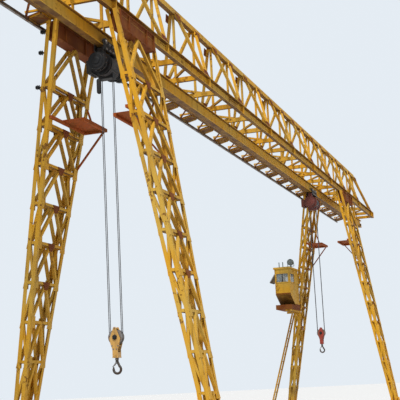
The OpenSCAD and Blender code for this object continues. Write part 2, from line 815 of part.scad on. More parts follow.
translate([far_x, 0, 0]) hook_block(far_hook_z, far_red);  // far_block
translate([far_x, 0, 0]) scale_y(-1) hook_piece(far_hook_z);  // far_hook
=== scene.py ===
"""Looks of the lattice gantry crane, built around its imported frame."""

from __future__ import annotations

import json
import logging
import math
from dataclasses import dataclass
from enum import Enum
from typing import Callable, Iterable, Sequence

import bmesh
import bpy
from mathutils import Matrix, Vector

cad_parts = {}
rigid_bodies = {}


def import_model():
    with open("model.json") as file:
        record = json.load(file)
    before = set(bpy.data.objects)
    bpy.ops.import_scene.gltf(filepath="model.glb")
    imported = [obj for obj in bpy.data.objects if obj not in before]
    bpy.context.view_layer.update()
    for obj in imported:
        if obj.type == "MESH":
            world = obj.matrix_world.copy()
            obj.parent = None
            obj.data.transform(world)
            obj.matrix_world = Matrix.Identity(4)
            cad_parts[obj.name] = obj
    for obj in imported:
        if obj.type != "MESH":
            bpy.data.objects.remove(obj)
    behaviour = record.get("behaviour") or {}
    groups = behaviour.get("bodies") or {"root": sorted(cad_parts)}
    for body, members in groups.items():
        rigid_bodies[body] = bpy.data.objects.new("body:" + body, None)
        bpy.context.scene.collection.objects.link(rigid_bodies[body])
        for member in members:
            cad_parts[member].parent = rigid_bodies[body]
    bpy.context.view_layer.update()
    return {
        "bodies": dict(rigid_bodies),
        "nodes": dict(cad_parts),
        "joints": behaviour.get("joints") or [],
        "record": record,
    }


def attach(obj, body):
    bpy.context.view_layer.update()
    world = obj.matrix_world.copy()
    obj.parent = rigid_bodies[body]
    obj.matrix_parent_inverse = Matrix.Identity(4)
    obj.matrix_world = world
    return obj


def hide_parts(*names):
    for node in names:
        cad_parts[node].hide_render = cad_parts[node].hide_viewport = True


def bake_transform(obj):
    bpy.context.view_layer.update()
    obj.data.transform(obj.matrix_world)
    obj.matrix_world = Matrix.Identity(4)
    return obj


LOG = logging.getLogger("gantry_crane")
Colour = tuple[float, float, float]
Number = float | int


class Value:
    """A shader socket that takes part in Python expressions."""

    def __init__(self, shader: "Shader", socket: bpy.types.NodeSocket) -> None:
        """Keep the socket and the tree it belongs to."""
        self.shader = shader
        self.socket = socket

    def _math(self, operation: str, first: "Value | Number", second: "Value | Number") -> "Value":
        """Add one Math node.

        Args:
            operation: Name of the Math node's operation.
            first: Upper operand.
            second: Lower operand.

        Returns:
            The node's result.
        """
        return self.shader.node("ShaderNodeMath", {"operation": operation}, {0: first, 1: second})

    def __add__(self, other: "Value | Number") -> "Value":
        """Sum."""
        return self._math("ADD", self, other)

    def __radd__(self, other: Number) -> "Value":
        """Sum with the number on the left."""
        return self._math("ADD", other, self)

    def __sub__(self, other: "Value | Number") -> "Value":
        """Difference."""
        return self._math("SUBTRACT", self, other)

    def __rsub__(self, other: Number) -> "Value":
        """Difference with the number on the left."""
        return self._math("SUBTRACT", other, self)

    def __mul__(self, other: "Value | Number") -> "Value":
        """Product."""
        return self._math("MULTIPLY", self, other)

    def __rmul__(self, other: Number) -> "Value":
        """Product with the number on the left."""
        return self._math("MULTIPLY", other, self)

    def clamped(self) -> "Value":
        """The value held between 0 and 1."""
        return self.shader.node("ShaderNodeClamp", {}, {"Value": self})

    def step(self, low: float, high: float) -> "Value":
        """A smooth step.

        Args:
            low: Value at which the step is 0.
            high: Value at which the step is 1.

        Returns:
            0 below low, 1 above high, and a smooth rise between them.
        """
        return self.shader.node(
            "ShaderNodeMapRange",
            {"interpolation_type": "SMOOTHSTEP"},
            {"Value": self, "From Min": low, "From Max": high, "To Min": 0.0, "To Max": 1.0},
        )


class Shader:
    """A material's node tree, whose nodes all come from one method."""

    def __init__(self, name: str) -> None:
        """Make the material and keep its Principled shader."""
        self.material = bpy.data.materials.new(name)
        self.material.use_nodes = True
        self.tree = self.material.node_tree
        self.surface = self.tree.nodes["Principled BSDF"]

    def node(
        self,
        kind: str,
        settings: dict[str, object] | None = None,
        inputs: dict[str | int, object] | None = None,
        output: str | int = 0,
    ) -> Value:
        """Add a node.

        Args:
            kind: The node's type.
            settings: Attributes of the node, set first; stops are a ramp's places and colours.
            inputs: Values or links of its sockets, by name or number.
            output: Name or number of the socket that is returned.

        Returns:
            The chosen output.
        """
        made = self.tree.nodes.new(kind)
        for key, setting in (settings or {}).items():
            if key == "stops":
                self._set_stops(made.color_ramp, setting)
            else:
                setattr(made, key, setting)
        for key, value in (inputs or {}).items():
            self.feed(made.inputs[key], value)
        return Value(self, made.outputs[output])

    @staticmethod
    def _set_stops(ramp: bpy.types.ColorRamp, stops: Sequence[tuple[float, Colour]]) -> None:
        """Give a colour ramp its stops.

        Args:
            ramp: The ramp, which has two stops when new.
            stops: Place and colour of each stop.
        """
        while len(ramp.elements) < len(stops):
            ramp.elements.new(1.0)
        for element, (place, colour) in zip(ramp.elements, stops):
            element.position = place
            element.color = (*colour, 1.0)

    def feed(self, socket: bpy.types.NodeSocket, value: object) -> None:
        """Link a value to a socket, or write a plain number or colour on it.

        Args:
            socket: The input.
            value: A Value, a number, a colour or a vector.
        """
        if isinstance(value, Value):
            self.tree.links.new(value.socket, socket)
        elif socket.type == "RGBA" and not isinstance(value, (int, float)) and len(value) == 3:
            socket.default_value = (*value, 1.0)
        else:
            socket.default_value = value

    def set(self, **values: object) -> None:
        """Feed inputs of the Principled shader, named with underscores for spaces."""
        for key, value in values.items():
            self.feed(self.surface.inputs[key.replace("_", " ")], value)

    def place(self, stretch: tuple[float, float, float] = (1.0, 1.0, 1.0)) -> Value:
        """Object coordinates.

        Args:
            stretch: How much finer the pattern gets along each axis.

        Returns:
            The coordinates, in metres times the stretch.
        """
        at = self.node("ShaderNodeTexCoord", output="Object")
        return self.node("ShaderNodeMapping", {}, {"Vector": at, "Scale": stretch})

    def noise(self, at: Value, scale: float, detail: float = 3.0, rough: float = 0.55) -> Value:
        """A noise pattern.

        Args:
            at: Where the pattern is read.
            scale: Number of its features to a metre.
            detail: How many finer layers it has.
            rough: How strong the finer layers are.

        Returns:
            The noise, about 0.5 on average.
        """
        inputs = {"Vector": at, "Scale": scale, "Detail": detail, "Roughness": rough}
        return self.node("ShaderNodeTexNoise", {}, inputs)

    def mix(self, share: Value | float, first: Value | Colour, second: Value | Colour) -> Value:
        """A colour between two others.

        Args:
            share: 0 for the first colour, 1 for the second.
            first: First colour.
            second: Second colour.

        Returns:
            The mixed colour.
        """
        made = self.tree.nodes.new("ShaderNodeMix")
        made.data_type = "RGBA"
        self.feed(made.inputs[0], share)
        self.feed(made.inputs[6], first)
        self.feed(made.inputs[7], second)
        return Value(self, made.outputs[2])

    def facing(self, axis: int) -> Value:
        """How far a face points along an axis of the object.

        Args:
            axis: 0, 1 or 2 for X, Y or Z.

        Returns:
            The normal's share along the axis, from -1 to 1.
        """
        normal = self.node("ShaderNodeNewGeometry", output="Normal")
        return self.node("ShaderNodeSeparateXYZ", {}, {0: normal}, output=axis)

    def bump(self, height: Value, depth: float, strength: float = 1.0) -> Value:
        """A bump of the surface.

        Args:
            height: The pattern, from 0 to 1.
            depth: Its depth in metres.
            strength: How much of it shows.

        Returns:
            The bumped normal.
        """
        inputs = {"Height": height, "Distance": depth, "Strength": strength}
        return self.node("ShaderNodeBump", {}, inputs)


@dataclass(frozen=True)
class Paint:
    """Old paint on steel: faded patches, run-down streaks, chips, and dirt with painted shade where
    faces point down.
    """

    name: str
    colour: Colour
    faded: Colour
    rust: Colour = (0.16, 0.055, 0.022)
    # this colour darkens the dirt streaks and also serves as painted shade on faces that point down
    grime_and_shade: Colour = (0.10, 0.05, 0.025)
    streaks: float = 0.5
    chips: float = 0.35
    # how far faces that point down darken: painted shade, with some dirt
    underside_dirt_and_shade: float = 0.55
    wear: float = 0.0
    roughness: float = 0.42
    gloss: float = 0.5

    def build(self) -> bpy.types.Material:
        """Make the material."""
        sh = Shader(self.name)
        at = sh.place()
        patches = sh.noise(at, 0.7, 4.0).step(0.35, 0.68)
        fresh = sh.mix(patches, self.colour, self.faded)
        worn = sh.noise(at, 0.55, 5.0, 0.6).step(0.52, 0.70) * self.wear
        tone = sh.mix(worn, fresh, self.rust)
        run = sh.noise(sh.place((9.0, 9.0, 0.7)), 1.0, 5.0, 0.62)
        streak = run.step(0.50, 0.80) * self.streaks
        stained = sh.mix(streak, tone, self.grime_and_shade)
        fine = sh.noise(at, 11.0, 6.0, 0.66)
        wide = sh.noise(at, 1.9, 3.0).step(0.40, 0.75)
        chip = (fine + wide * 0.16).step(0.66, 0.71) * self.chips * 2.0
        chipped = sh.mix(chip.clamped(), stained, self.rust)
        # faces that point down take the grime colour: painted shade, with some dirt, broken up by noise
        below = (0.0 - sh.facing(2)).step(0.25, 0.95) * self.underside_dirt_and_shade
        mottle = sh.noise(at, 3.0, 4.0).step(0.25, 0.75) * 0.3 + 0.7
        shaded_and_dirty = sh.mix((below * mottle).clamped(), chipped, self.grime_and_shade)
        grain = sh.noise(at, 60.0, 3.0)
        sh.set(
            Base_Color=shaded_and_dirty,
            Roughness=(chip * 0.35 + streak * 0.25 + self.roughness + grain * 0.08).clamped(),
            Specular_IOR_Level=self.gloss,
            Normal=sh.bump(grain * 0.25 + (1.0 - chip.clamped()), 0.0008),
        )
        return sh.material


@dataclass(frozen=True)
class Primer:
    """Flat primer with rust blooming through it."""

    name: str
    colour: Colour
    rust: Colour
    dark: Colour
    roughness: float = 0.72

    def build(self) -> bpy.types.Material:
        """Make the material."""
        sh = Shader(self.name)
        at = sh.place()
        bloom = sh.noise(at, 2.6, 6.0, 0.62).step(0.42, 0.70)
        tone = sh.mix(bloom, self.colour, self.rust)
        run = sh.noise(sh.place((10.0, 10.0, 1.0)), 1.0, 5.0, 0.6).step(0.52, 0.78)
        soiled = sh.mix(run * 0.6, tone, self.dark)
        grain = sh.noise(at, 40.0, 5.0, 0.7)
        speckle = grain.step(0.58, 0.70) * 0.4
        sh.set(
            Base_Color=sh.mix(speckle, soiled, self.rust),
            Specular_IOR_Level=0.2,
            Roughness=(grain * 0.2 + self.roughness).clamped(),
            Normal=sh.bump(grain, 0.0012),
        )
        return sh.material


@dataclass(frozen=True)
class Steel:
    """Bare steel, worn bright where it runs and brown with rust elsewhere."""

    name: str
    bright: Colour
    brown: Colour
    rusted: float = 0.5
    roughness: float = 0.38
    metallic: float = 0.75

    def build(self) -> bpy.types.Material:
        """Make the material."""
        sh = Shader(self.name)
        at = sh.place()
        bloom = sh.noise(at, 6.0, 6.0, 0.65).step(
            0.62 - 0.35 * self.rusted, 0.82 - 0.3 * self.rusted
        )
        grain = sh.noise(at, 90.0, 4.0, 0.6)
        sh.set(
            Base_Color=sh.mix(bloom, self.bright, self.brown),
            Roughness=(bloom * 0.3 + grain * 0.12 + self.roughness).clamped(),
            Metallic=(1.0 - bloom * 0.8) * self.metallic,
            Normal=sh.bump(grain, 0.0004),
        )
        return sh.material


@dataclass(frozen=True)
class WireRope:
    """Stranded wire rope under grease; the strands wind round each upright rope."""

    name: str
    wire: Colour
    grease: Colour
    lay_length: float = 0.11

    def build(self) -> bpy.types.Material:
        """Make the material."""
        sh = Shader(self.name)
        at = sh.place()
        turns = {"wave_type": "BANDS", "bands_direction": "DIAGONAL", "wave_profile": "SIN"}
        strand = sh.node("ShaderNodeTexWave", turns, {"Vector": at, "Scale": 1.0 / self.lay_length})
        dirt = sh.noise(at, 8.0, 4.0).step(0.35, 0.7)
        tone = sh.mix(strand * 0.55, self.grease, self.wire)
        sh.set(
            Base_Color=sh.mix(dirt * 0.6, tone, self.grease),
            Roughness=0.55,
            Metallic=0.5,
            Normal=sh.bump(strand, 0.002),
        )
        return sh.material


@dataclass(frozen=True)
class Glass:
    """Dusty window glass."""

    name: str
    tint: Colour
    clear: float

    def build(self) -> bpy.types.Material:
        """Make the material."""
        sh = Shader(self.name)
        dust = sh.noise(sh.place((3.0, 3.0, 1.5)), 2.0, 5.0).step(0.35, 0.8)
        sh.set(
            Base_Color=sh.mix(dust, self.tint, (0.42, 0.40, 0.34)),
            Roughness=dust * 0.25 + 0.06,
            Alpha=dust * 0.25 + (1.0 - self.clear),
        )
        return sh.material


class Slot(Enum):
    """The record's material slots."""

    YELLOW = "yellow_paint"
    PRIMER = "rusty_primer"
    DECK = "deck_red"
    STEEL = "bare_steel"
    BLACK = "black_paint"
    RED = "hoist_red"
    ROPE = "wire_rope"
    BLOCK_TAN = "block_tan"
    BLOCK_RED = "block_red"
    HOOK = "hook_steel"
    GLASS = "window_glass"
    LAMP = "lamp_green"


FINISHES = {
    # the yellow paint takes the full painted shade, with dirt, on faces that point down
    Slot.YELLOW: Paint(
        "yellow_paint", (0.65, 0.33, 0.018), (0.58, 0.36, 0.06), rust=(0.13, 0.042, 0.014),
        grime_and_shade=(0.078, 0.028, 0.009), streaks=0.7, chips=0.4, underside_dirt_and_shade=1.0, wear=0.45,
        roughness=0.56, gloss=0.18
    ),
    Slot.PRIMER: Primer(
        "rusty_primer", (0.165, 0.043, 0.009), (0.24, 0.080, 0.015), (0.05, 0.016, 0.006)
    ),
    Slot.DECK: Primer("deck_red", (0.34, 0.075, 0.012), (0.23, 0.075, 0.014), (0.08, 0.022, 0.006)),
    Slot.STEEL: Steel("bare_steel", (0.24, 0.23, 0.22), (0.13, 0.07, 0.04), 0.6),
    Slot.BLACK: Paint(
        "black_paint", (0.011, 0.012, 0.014), (0.026, 0.026, 0.025), rust=(0.06, 0.03, 0.02),
        grime_and_shade=(0.022, 0.02, 0.018), streaks=0.4, chips=0.15, roughness=0.5, gloss=0.25
    ),
    Slot.RED: Paint(
        "hoist_red", (0.115, 0.022, 0.018), (0.16, 0.04, 0.03), rust=(0.06, 0.03, 0.02),
        grime_and_shade=(0.04, 0.02, 0.016), streaks=0.5, chips=0.2, roughness=0.45, gloss=0.35
    ),
    Slot.ROPE: WireRope("wire_rope", (0.19, 0.19, 0.20), (0.045, 0.042, 0.042)),
    # the hook block's paint takes less painted shade on faces that point down
    Slot.BLOCK_TAN: Paint(
        "block_tan", (0.55, 0.31, 0.075), (0.60, 0.40, 0.15), streaks=0.8, chips=0.6, underside_dirt_and_shade=0.4
    ),
    Slot.BLOCK_RED: Paint(
        "block_red", (0.27, 0.030, 0.018), (0.30, 0.05, 0.03), streaks=0.6, chips=0.5, gloss=0.4
    ),
    Slot.HOOK: Steel("hook_steel", (0.06, 0.055, 0.05), (0.055, 0.032, 0.022), 0.6, 0.52, 0.35),
    Slot.GLASS: Glass("window_glass", (0.30, 0.36, 0.38), 0.55),
    Slot.LAMP: Paint(
        "lamp_green", (0.022, 0.05, 0.026), (0.05, 0.085, 0.045), rust=(0.06, 0.03, 0.02),
        grime_and_shade=(0.02, 0.022, 0.016), streaks=0.4, chips=0.2, roughness=0.34
    )
}


@dataclass
class Studio:
    """The camera at the photo's place, soft light, and a plain pale floor."""

    eye: tuple[float, float, float] = (-30.526, -8.463, 1.6)
    yaw: float = 0.324
    pitch: float = 0.179
    roll: float = -0.050
    focal_px: float = 1041.3
    image_px: float = 400.0
    sensor_mm: float = 36.0
    floor_half: float = 400.0
    floor_colour: Colour = (0.80, 0.81, 0.82)
    sky_colour: Colour = (0.78, 0.84, 0.90)
    sun_from: tuple[float, float, float] = (-0.55, -0.2, 0.8)
    sun_strength: float = 3.0
    sky_strength: float = 0.36
    sky_light: Colour = (0.93, 0.96, 1.0)
    sun_colour: Colour = (1.0, 0.97, 0.92)
    sun_width_deg: float = 12.0
    far_clip: float = 500.0

    def camera(self) -> None:
        """Put the camera where the photo was taken."""
        forward = Vector((
            math.cos(self.yaw) * math.cos(self.pitch),
            math.sin(self.yaw) * math.cos(self.pitch),
            math.sin(self.pitch),
        ))
        level = Vector((math.sin(self.yaw), -math.cos(self.yaw), 0.0))
        upward = level.cross(forward)
        right = level * math.cos(self.roll) + upward * math.sin(self.roll)
        up = upward * math.cos(self.roll) - level * math.sin(self.roll)
        data = bpy.data.cameras.new("camera")
        data.sensor_width = self.sensor_mm
        data.lens = self.focal_px / self.image_px * self.sensor_mm
        data.clip_end = self.far_clip
        made = bpy.data.objects.new("camera", data)
        turn = Matrix((right, up, -forward)).transposed()
        made.matrix_world = Matrix.Translation(self.eye) @ turn.to_4x4()
        bpy.context.scene.collection.objects.link(made)
        bpy.context.scene.camera = made

    def sky(self) -> None:
        """Light the object from the world, and show the camera a plain pale sky."""
        world = bpy.data.worlds.new("sky")
        world.use_nodes = True
        bpy.context.scene.world = world
        tree = world.node_tree
        light = tree.nodes["Background"]
        light.inputs["Color"].default_value = (*self.sky_light, 1.0)
        light.inputs["Strength"].default_value = self.sky_strength
        shown = tree.nodes.new("ShaderNodeBackground")
        shown.inputs["Color"].default_value = (*self.sky_colour, 1.0)
        rays = tree.nodes.new("ShaderNodeLightPath")
        share = rays.outputs["Is Camera Ray"]
        for ray in ("Is Glossy Ray", "Is Transmission Ray"):
            either = tree.nodes.new("ShaderNodeMath")
            either.operation = "ADD"
            either.use_clamp = True
            tree.links.new(share, either.inputs[0])
            tree.links.new(rays.outputs[ray], either.inputs[1])
            share = either.outputs[0]
        chosen = tree.nodes.new("ShaderNodeMixShader")
        tree.links.new(share, chosen.inputs[0])
        tree.links.new(light.outputs[0], chosen.inputs[1])
        tree.links.new(shown.outputs[0], chosen.inputs[2])
        tree.links.new(chosen.outputs[0], tree.nodes["World Output"].inputs["Surface"])

    def sun(self) -> None:
        """Add one broad soft lamp from behind the camera's right shoulder."""
        data = bpy.data.lights.new("sun", "SUN")
        data.energy = self.sun_strength
        data.angle = math.radians(self.sun_width_deg)
        data.color = self.sun_colour
        made = bpy.data.objects.new("sun", data)
        made.rotation_euler = Vector(self.sun_from).to_track_quat("Z", "Y").to_euler()
        bpy.context.scene.collection.objects.link(made)

    def floor(self) -> None:
        """Lay a plain pale floor at the travel rails' level."""
        bpy.ops.mesh.primitive_plane_add(size=2 * self.floor_half, location=(0.0, 0.0, 0.0))
        made = bpy.context.object
        made.name = "floor"
        sh = Shader("floor")
        sh.set(Base_Color=self.floor_colour, Roughness=0.9)
        made.data.materials.append(sh.material)

    def build(self) -> None:
        """Make the camera, the light and the floor."""
        self.camera()
        self.sky()
        self.sun()
        self.floor()
        bpy.context.scene.view_settings.view_transform = "Standard"


class Dresser:
    """Gives each CAD node and each new piece its finish."""

    def __init__(self, frame: dict) -> None:
        """Build every finish once.
        """
        self.nodes = frame["nodes"]
        self.record = frame["record"]
        self.materials = {slot: finish.build() for slot, finish in FINISHES.items()}

    def dress(self, made: bpy.types.Object, slot: Slot) -> None:
        """Paint a piece all over.

        Args:
            made: The piece.
            slot: Its finish.
        """
        made.data.materials.clear()
        made.data.materials.append(self.materials[slot])

    def dress_nodes(self) -> None:
        """Paint each CAD node with its slot in the record."""
        for subpart in self.record["subparts"]:
            self.dress(self.nodes[subpart["node"]], Slot(subpart["material_slot"]))


class Body(Enum):
    """The bodies of the frame that pieces ride on."""

    FRAME = "frame"
    NEAR_CARRIAGE = "near_carriage"
    NEAR_BLOCK = "near_hook_block"
    NEAR_HOOK = "near_hook_swivel"
    FAR_CARRIAGE = "far_carriage"
    FAR_BLOCK = "far_hook_block"
    FAR_HOOK = "far_hook_swivel"


@dataclass(frozen=True)
class Sizes:
    """The crane's own sizes in metres, as in the CAD source."""

    bay: float = 1.5
    half_bays: float = 12.5
    girder_half: float = 18.45
    chord_y: float = 0.62
    chord_b: float = 0.11
    chord_t: float = 0.014
    chord_z: float = 9.29
    chord_low: float = 9.16
    chord_top: float = 9.42
    top_z: float = 11.035
    top_b: float = 0.13
    top_h: float = 0.14
    web_d: float = 0.07
    rail_low: float = 8.756
    rail_fl: float = 0.02
    track_y: float = 0.98
    track_z: float = 9.015
    track_h: float = 0.07
    leg_x: float = 11.25
    leg_top: float = 8.79
    head_w: float = 1.9
    foot_w: float = 0.268
    head_y: float = 0.712
    splay: float = 0.171
    layer_gap: float = 0.156
    post_d: float = 0.08
    brace_d: float = 0.06
    leg_foot: float = 0.724
    first_rung: float = 7.83
    panels: int = 9
    beam_b: float = 0.38
    beam_top: float = 0.7
    beam_low: float = 0.28
    wheel_base: float = 5.4
    axle_z: float = 0.25
    near_x: float = -11.06
    near_block_z: float = 2.7
    far_x: float = 8.16
    far_block_z: float = 3.43
    rope_guide_z: float = 8.1057

    @property
    def low_nodes(self) -> list[float]:
        """Places along the girder where the web meets the lower chords."""
        count = int(self.half_bays - 0.5)
        return [k * self.bay for k in range(-count, count + 1, 2)]

    @property
    def top_nodes(self) -> list[float]:
        """Places along the girder where the web meets the top chord."""
        count = int(2 * self.half_bays - 1)
        return [(k - (count - 1) / 2) * self.bay for k in range(count)]

    @property
    def rungs(self) -> list[float]:
        """Heights of a leg's rungs, from the head down."""
        step = (self.first_rung - self.leg_foot) / self.panels
        return [self.first_rung - i * step for i in range(self.panels)]

    @property
    def web_tilt(self) -> float:
        """Angle of the web planes from the vertical."""
        return math.atan2(self.chord_y - self.top_b / 2, self.top_z - 0.02 - self.chord_z)

    def leg_y(self, z: float) -> float:
        """Distance of a leg's middle plane from the girder's middle at a height."""
        return self.head_y + self.splay * (self.leg_top - z)

    def leg_w(self, z: float) -> float:
        """Width of a leg between post centres at a height."""
        return self.foot_w + (self.head_w - self.foot_w) * z / self.leg_top


SIZES = Sizes()
Point = tuple[float, float, float]
Ring = tuple[float, float]
Rings = tuple[Ring, ...]
Offsets = tuple[tuple[float, float], ...]
CORNERS = ((-1, -1), (-1, 1), (1, -1), (1, 1))


def spot(at: Sequence[float], turn: float = 0.0, axis: str = "X", flip: bool = False) -> Matrix:
    """Work out where a copy goes.

    Args:
        at: Its place.
        turn: Its turn about the axis.
        axis: The axis it is turned about.
        flip: Whether it is turned half round Z first.

    Returns:
        The copy's matrix.
    """
    made = Matrix.Translation(at) @ Matrix.Rotation(turn, 4, axis)
    return made @ Matrix.Rotation(math.pi, 4, "Z") if flip else made


def aim(at: Sequence[float], along: Sequence[float]) -> Matrix:
    """Work out the matrix that takes +Z to a direction.

    Args:
        at: Where the origin goes.
        along: The direction.

    Returns:
        The matrix.
    """
    return Matrix.Translation(at) @ Vector(along).to_track_quat("Z", "Y").to_matrix().to_4x4()


class Bench:
    """The modelling bench: primitives that are shaped in edit mode, copied and joined."""

    @staticmethod
    def only(*made: bpy.types.Object) -> None:
        """Select these objects alone, the first one active."""
        bpy.ops.object.select_all(action="DESELECT")
        for one in made:
            one.select_set(True)
        bpy.context.view_layer.objects.active = made[0]

    @classmethod
    def settle(cls, made: bpy.types.Object, name: str) -> bpy.types.Object:
        """Put an object's place, turn and scale into its mesh, and name it.

        Args:
            made: The object.
            name: Its name.

        Returns:
            The object.
        """
        cls.only(made)
        bpy.ops.object.transform_apply(location=True, rotation=True, scale=True)
        made.name = made.data.name = name
        return made

    @classmethod
    def start(cls, made: bpy.types.Object, action: str = "SELECT", kind: str = "FACE") -> None:
        """Go into edit mode.

        Args:
            made: The object to edit.
            action: Whether all of it or none of it is selected.
            kind: What is selected: VERT, EDGE or FACE.
        """
        cls.only(made)
        bpy.ops.object.mode_set(mode="EDIT")
        bpy.ops.mesh.select_mode(type=kind)
        bpy.ops.mesh.select_all(action=action)

    @staticmethod
    def stop(close: bool = True) -> None:
        """Leave edit mode.

        Args:
            close: Whether all normals are turned outwards first.
        """
        if close:
            bpy.ops.mesh.select_all(action="SELECT")
            bpy.ops.mesh.normals_make_consistent(inside=False)
        bpy.ops.object.mode_set(mode="OBJECT")

    @staticmethod
    def pick(made: bpy.types.Object, test: Callable[[Vector, Vector], bool]) -> None:
        """Select faces in edit mode.

        Args:
            made: The object in edit mode.
            test: Takes a face's centre and normal, and says whether it is wanted.
        """
        shape = bmesh.from_edit_mesh(made.data)
        for face in shape.faces:
            if test(face.calc_center_median(), face.normal):
                face.select_set(True)
        bmesh.update_edit_mesh(made.data)

    @classmethod
    def block(cls, name: str, low: Point, high: Point, edge: float = 0.003) -> bpy.types.Object:
        """Model a plate or bar with broken edges.

        Args:
            name: Its name.
            low: Its lowest corner.
            high: Its highest corner.
            edge: Width of the bevels.

        Returns:
            The piece.
        """
        mid = (Vector(low) + Vector(high)) / 2
        bpy.ops.object.select_all(action="DESELECT")
        bpy.ops.mesh.primitive_cube_add(size=1.0, location=mid, scale=Vector(high) - Vector(low))
        made = cls.settle(bpy.context.object, name)
        cls.start(made)
        bpy.ops.mesh.bevel(offset=edge, segments=1, affect="EDGES")
        cls.stop()
        return made

    @classmethod
    def case(cls, name: str, low: Point, high: Point, edge: float, lip: float) -> bpy.types.Object:
        """Model a box with rounded edges and a sunk panel on each side.

        Args:
            name: Its name.
            low: Its lowest corner.
            high: Its highest corner.
            edge: Radius of its edges.
            lip: Width of the rim round each panel.

        Returns:
            The piece.
        """
        mid = (Vector(low) + Vector(high)) / 2
        bpy.ops.object.select_all(action="DESELECT")
        bpy.ops.mesh.primitive_cube_add(size=1.0, location=mid, scale=Vector(high) - Vector(low))
        made = cls.settle(bpy.context.object, name)
        cls.start(made)
        bpy.ops.mesh.bevel(offset=edge, segments=3, affect="EDGES")
        bpy.ops.mesh.select_all(action="DESELECT")
        cls.pick(made, lambda centre, normal: max(abs(part) for part in normal) > 0.999)
        bpy.ops.mesh.inset(thickness=lip, depth=0.0, use_individual=True)
        bpy.ops.mesh.inset(thickness=0.002, depth=-lip / 4, use_individual=True)
        cls.stop()
        return cls.smooth(made)

    @classmethod
    def plate(
        cls, name: str, low: float, high: float, rise: float, thick: float
    ) -> bpy.types.Object:
        """Model a plate with sloping ends that stands on z = 0 in the XZ plane.

        Args:
            name: Its name.
            low: Length of its lower edge.
            high: Length of its upper edge.
            rise: Its height.
            thick: Its thickness.

        Returns:
            The piece.
        """
        bpy.ops.object.select_all(action="DESELECT")
        bpy.ops.mesh.primitive_plane_add(
            size=1.0, rotation=(math.pi / 2, 0.0, 0.0), location=(0.0, thick / 2, rise / 2)
        )
        made = bpy.context.object
        made.scale = (low, rise, 1.0)
        cls.settle(made, name)
        cls.start(made, "DESELECT", "VERT")
        shape = bmesh.from_edit_mesh(made.data)
        for vert in shape.verts:
            vert.select_set(vert.co.z > rise / 2)
        bmesh.update_edit_mesh(made.data)
        bpy.ops.transform.resize(value=(high / low, 1.0, 1.0), center_override=(0.0, 0.0, rise))
        bpy.ops.mesh.select_all(action="SELECT")
        bpy.ops.mesh.extrude_region_move(TRANSFORM_OT_translate={"value": (0.0, -thick, 0.0)})
        cls.stop()
        return made

    @classmethod
    def surround(
        cls, name: str, wide: float, tall: float, rim: float, deep: float
    ) -> bpy.types.Object:
        """Model a frame round an opening in the XZ plane, centred on the origin.

        Args:
            name: Its name.
            wide: Its outer width.
            tall: Its outer height.
            rim: Width of its bars.
            deep: Its depth along Y.

        Returns:
            The piece.
        """
        bpy.ops.object.select_all(action="DESELECT")
        bpy.ops.mesh.primitive_plane_add(
            size=1.0, rotation=(math.pi / 2, 0.0, 0.0), location=(0.0, deep / 2, 0.0)
        )
        made = bpy.context.object
        made.scale = (wide, tall, 1.0)
        cls.settle(made, name)
        cls.start(made)
        bpy.ops.mesh.inset(thickness=rim)
        bpy.ops.mesh.delete(type="FACE")
        bpy.ops.mesh.select_all(action="SELECT")
        bpy.ops.mesh.extrude_region_move(TRANSFORM_OT_translate={"value": (0.0, -deep, 0.0)})
        bpy.ops.mesh.select_all(action="SELECT")
        bpy.ops.mesh.bevel(offset=rim * 0.12, segments=1, affect="EDGES")
        cls.stop()
        return made

    @classmethod
    def turned(cls, name: str, rings: Sequence[Ring], sides: int = 24) -> bpy.types.Object:
        """Model a round piece along +Z: a disc that is extruded and scaled ring by ring.

        Args:
            name: Its name.
            rings: Height and radius of each ring.
            sides: Number of its sides.

        Returns:
            The piece.
        """
        start, radius = rings[0]
        bpy.ops.object.select_all(action="DESELECT")
        bpy.ops.mesh.primitive_circle_add(
            vertices=sides, radius=radius, fill_type="NGON", location=(0.0, 0.0, start)
        )
        made = cls.settle(bpy.context.object, name)
        cls.start(made)
        for (low, before), (high, after) in zip(rings, rings[1:]):
            bpy.ops.mesh.extrude_region_move(
                TRANSFORM_OT_translate={"value": (0.0, 0.0, high - low)}
            )
            share = after / before
            bpy.ops.transform.resize(value=(share, share, 1.0), center_override=(0.0, 0.0, high))
        cls.stop()
        return cls.smooth(made) if sides > 8 else made

    @classmethod
    def bar(cls, name: str, start: Point, end: Point, wide: float, deep: float) -> bpy.types.Object:
        """Model a straight flat bar between two points, with broken edges.

        Args:
            name: Its name.
            start: Its first end.
            end: Its second end.
            wide: Its width.
            deep: Its thickness.

        Returns:
            The piece.
        """
        way = Vector(end) - Vector(start)
        half = wide / 2
        made = cls.block(
            name, (-half, -deep / 2, 0.0), (half, deep / 2, way.length), min(wide, deep) * 0.15
        )
        return cls.place(made, aim(start, way))

    @classmethod
    def place(cls, made: bpy.types.Object, where: Matrix) -> bpy.types.Object:
        """Move a piece from the origin to its place.

        Args:
            made: The piece.
            where: Its place.

        Returns:
            The piece.
        """
        made.matrix_world = where
        return cls.settle(made, made.name)

    @classmethod
    def smooth(cls, made: bpy.types.Object) -> bpy.types.Object:
        """Shade a piece smooth except at its sharp edges.

        Args:
            made: The piece.

        Returns:
            The piece.
        """
        cls.only(made)
        bpy.ops.object.shade_smooth_by_angle(angle=math.radians(32.0))
        return made

    @classmethod
    def join(cls, name: str, *made: bpy.types.Object) -> bpy.types.Object:
        """Join pieces into one.

        Args:
            name: The name of the whole.
            made: The pieces.

        Returns:
            The whole.
        """
        cls.only(*made)
        bpy.ops.object.join()
        made[0].name = made[0].data.name = name
        return made[0]

    @classmethod
    def copies(cls, made: bpy.types.Object, places: Iterable[Matrix]) -> bpy.types.Object:
        """Lay copies of a piece, each with its own mesh, and join them.

        Args:
            made: The piece, modelled at the origin; it becomes the first copy's model and goes.
            places: Where the copies go.

        Returns:
            All the copies as one piece under the same name.
        """
        name = made.name
        laid = []
        for where in places:
            one = made.copy()
            one.data = made.data.copy()
            one.data.transform(where)
            bpy.context.scene.collection.objects.link(one)
            laid.append(one)
        bpy.data.objects.remove(made)
        return cls.join(name, *laid)

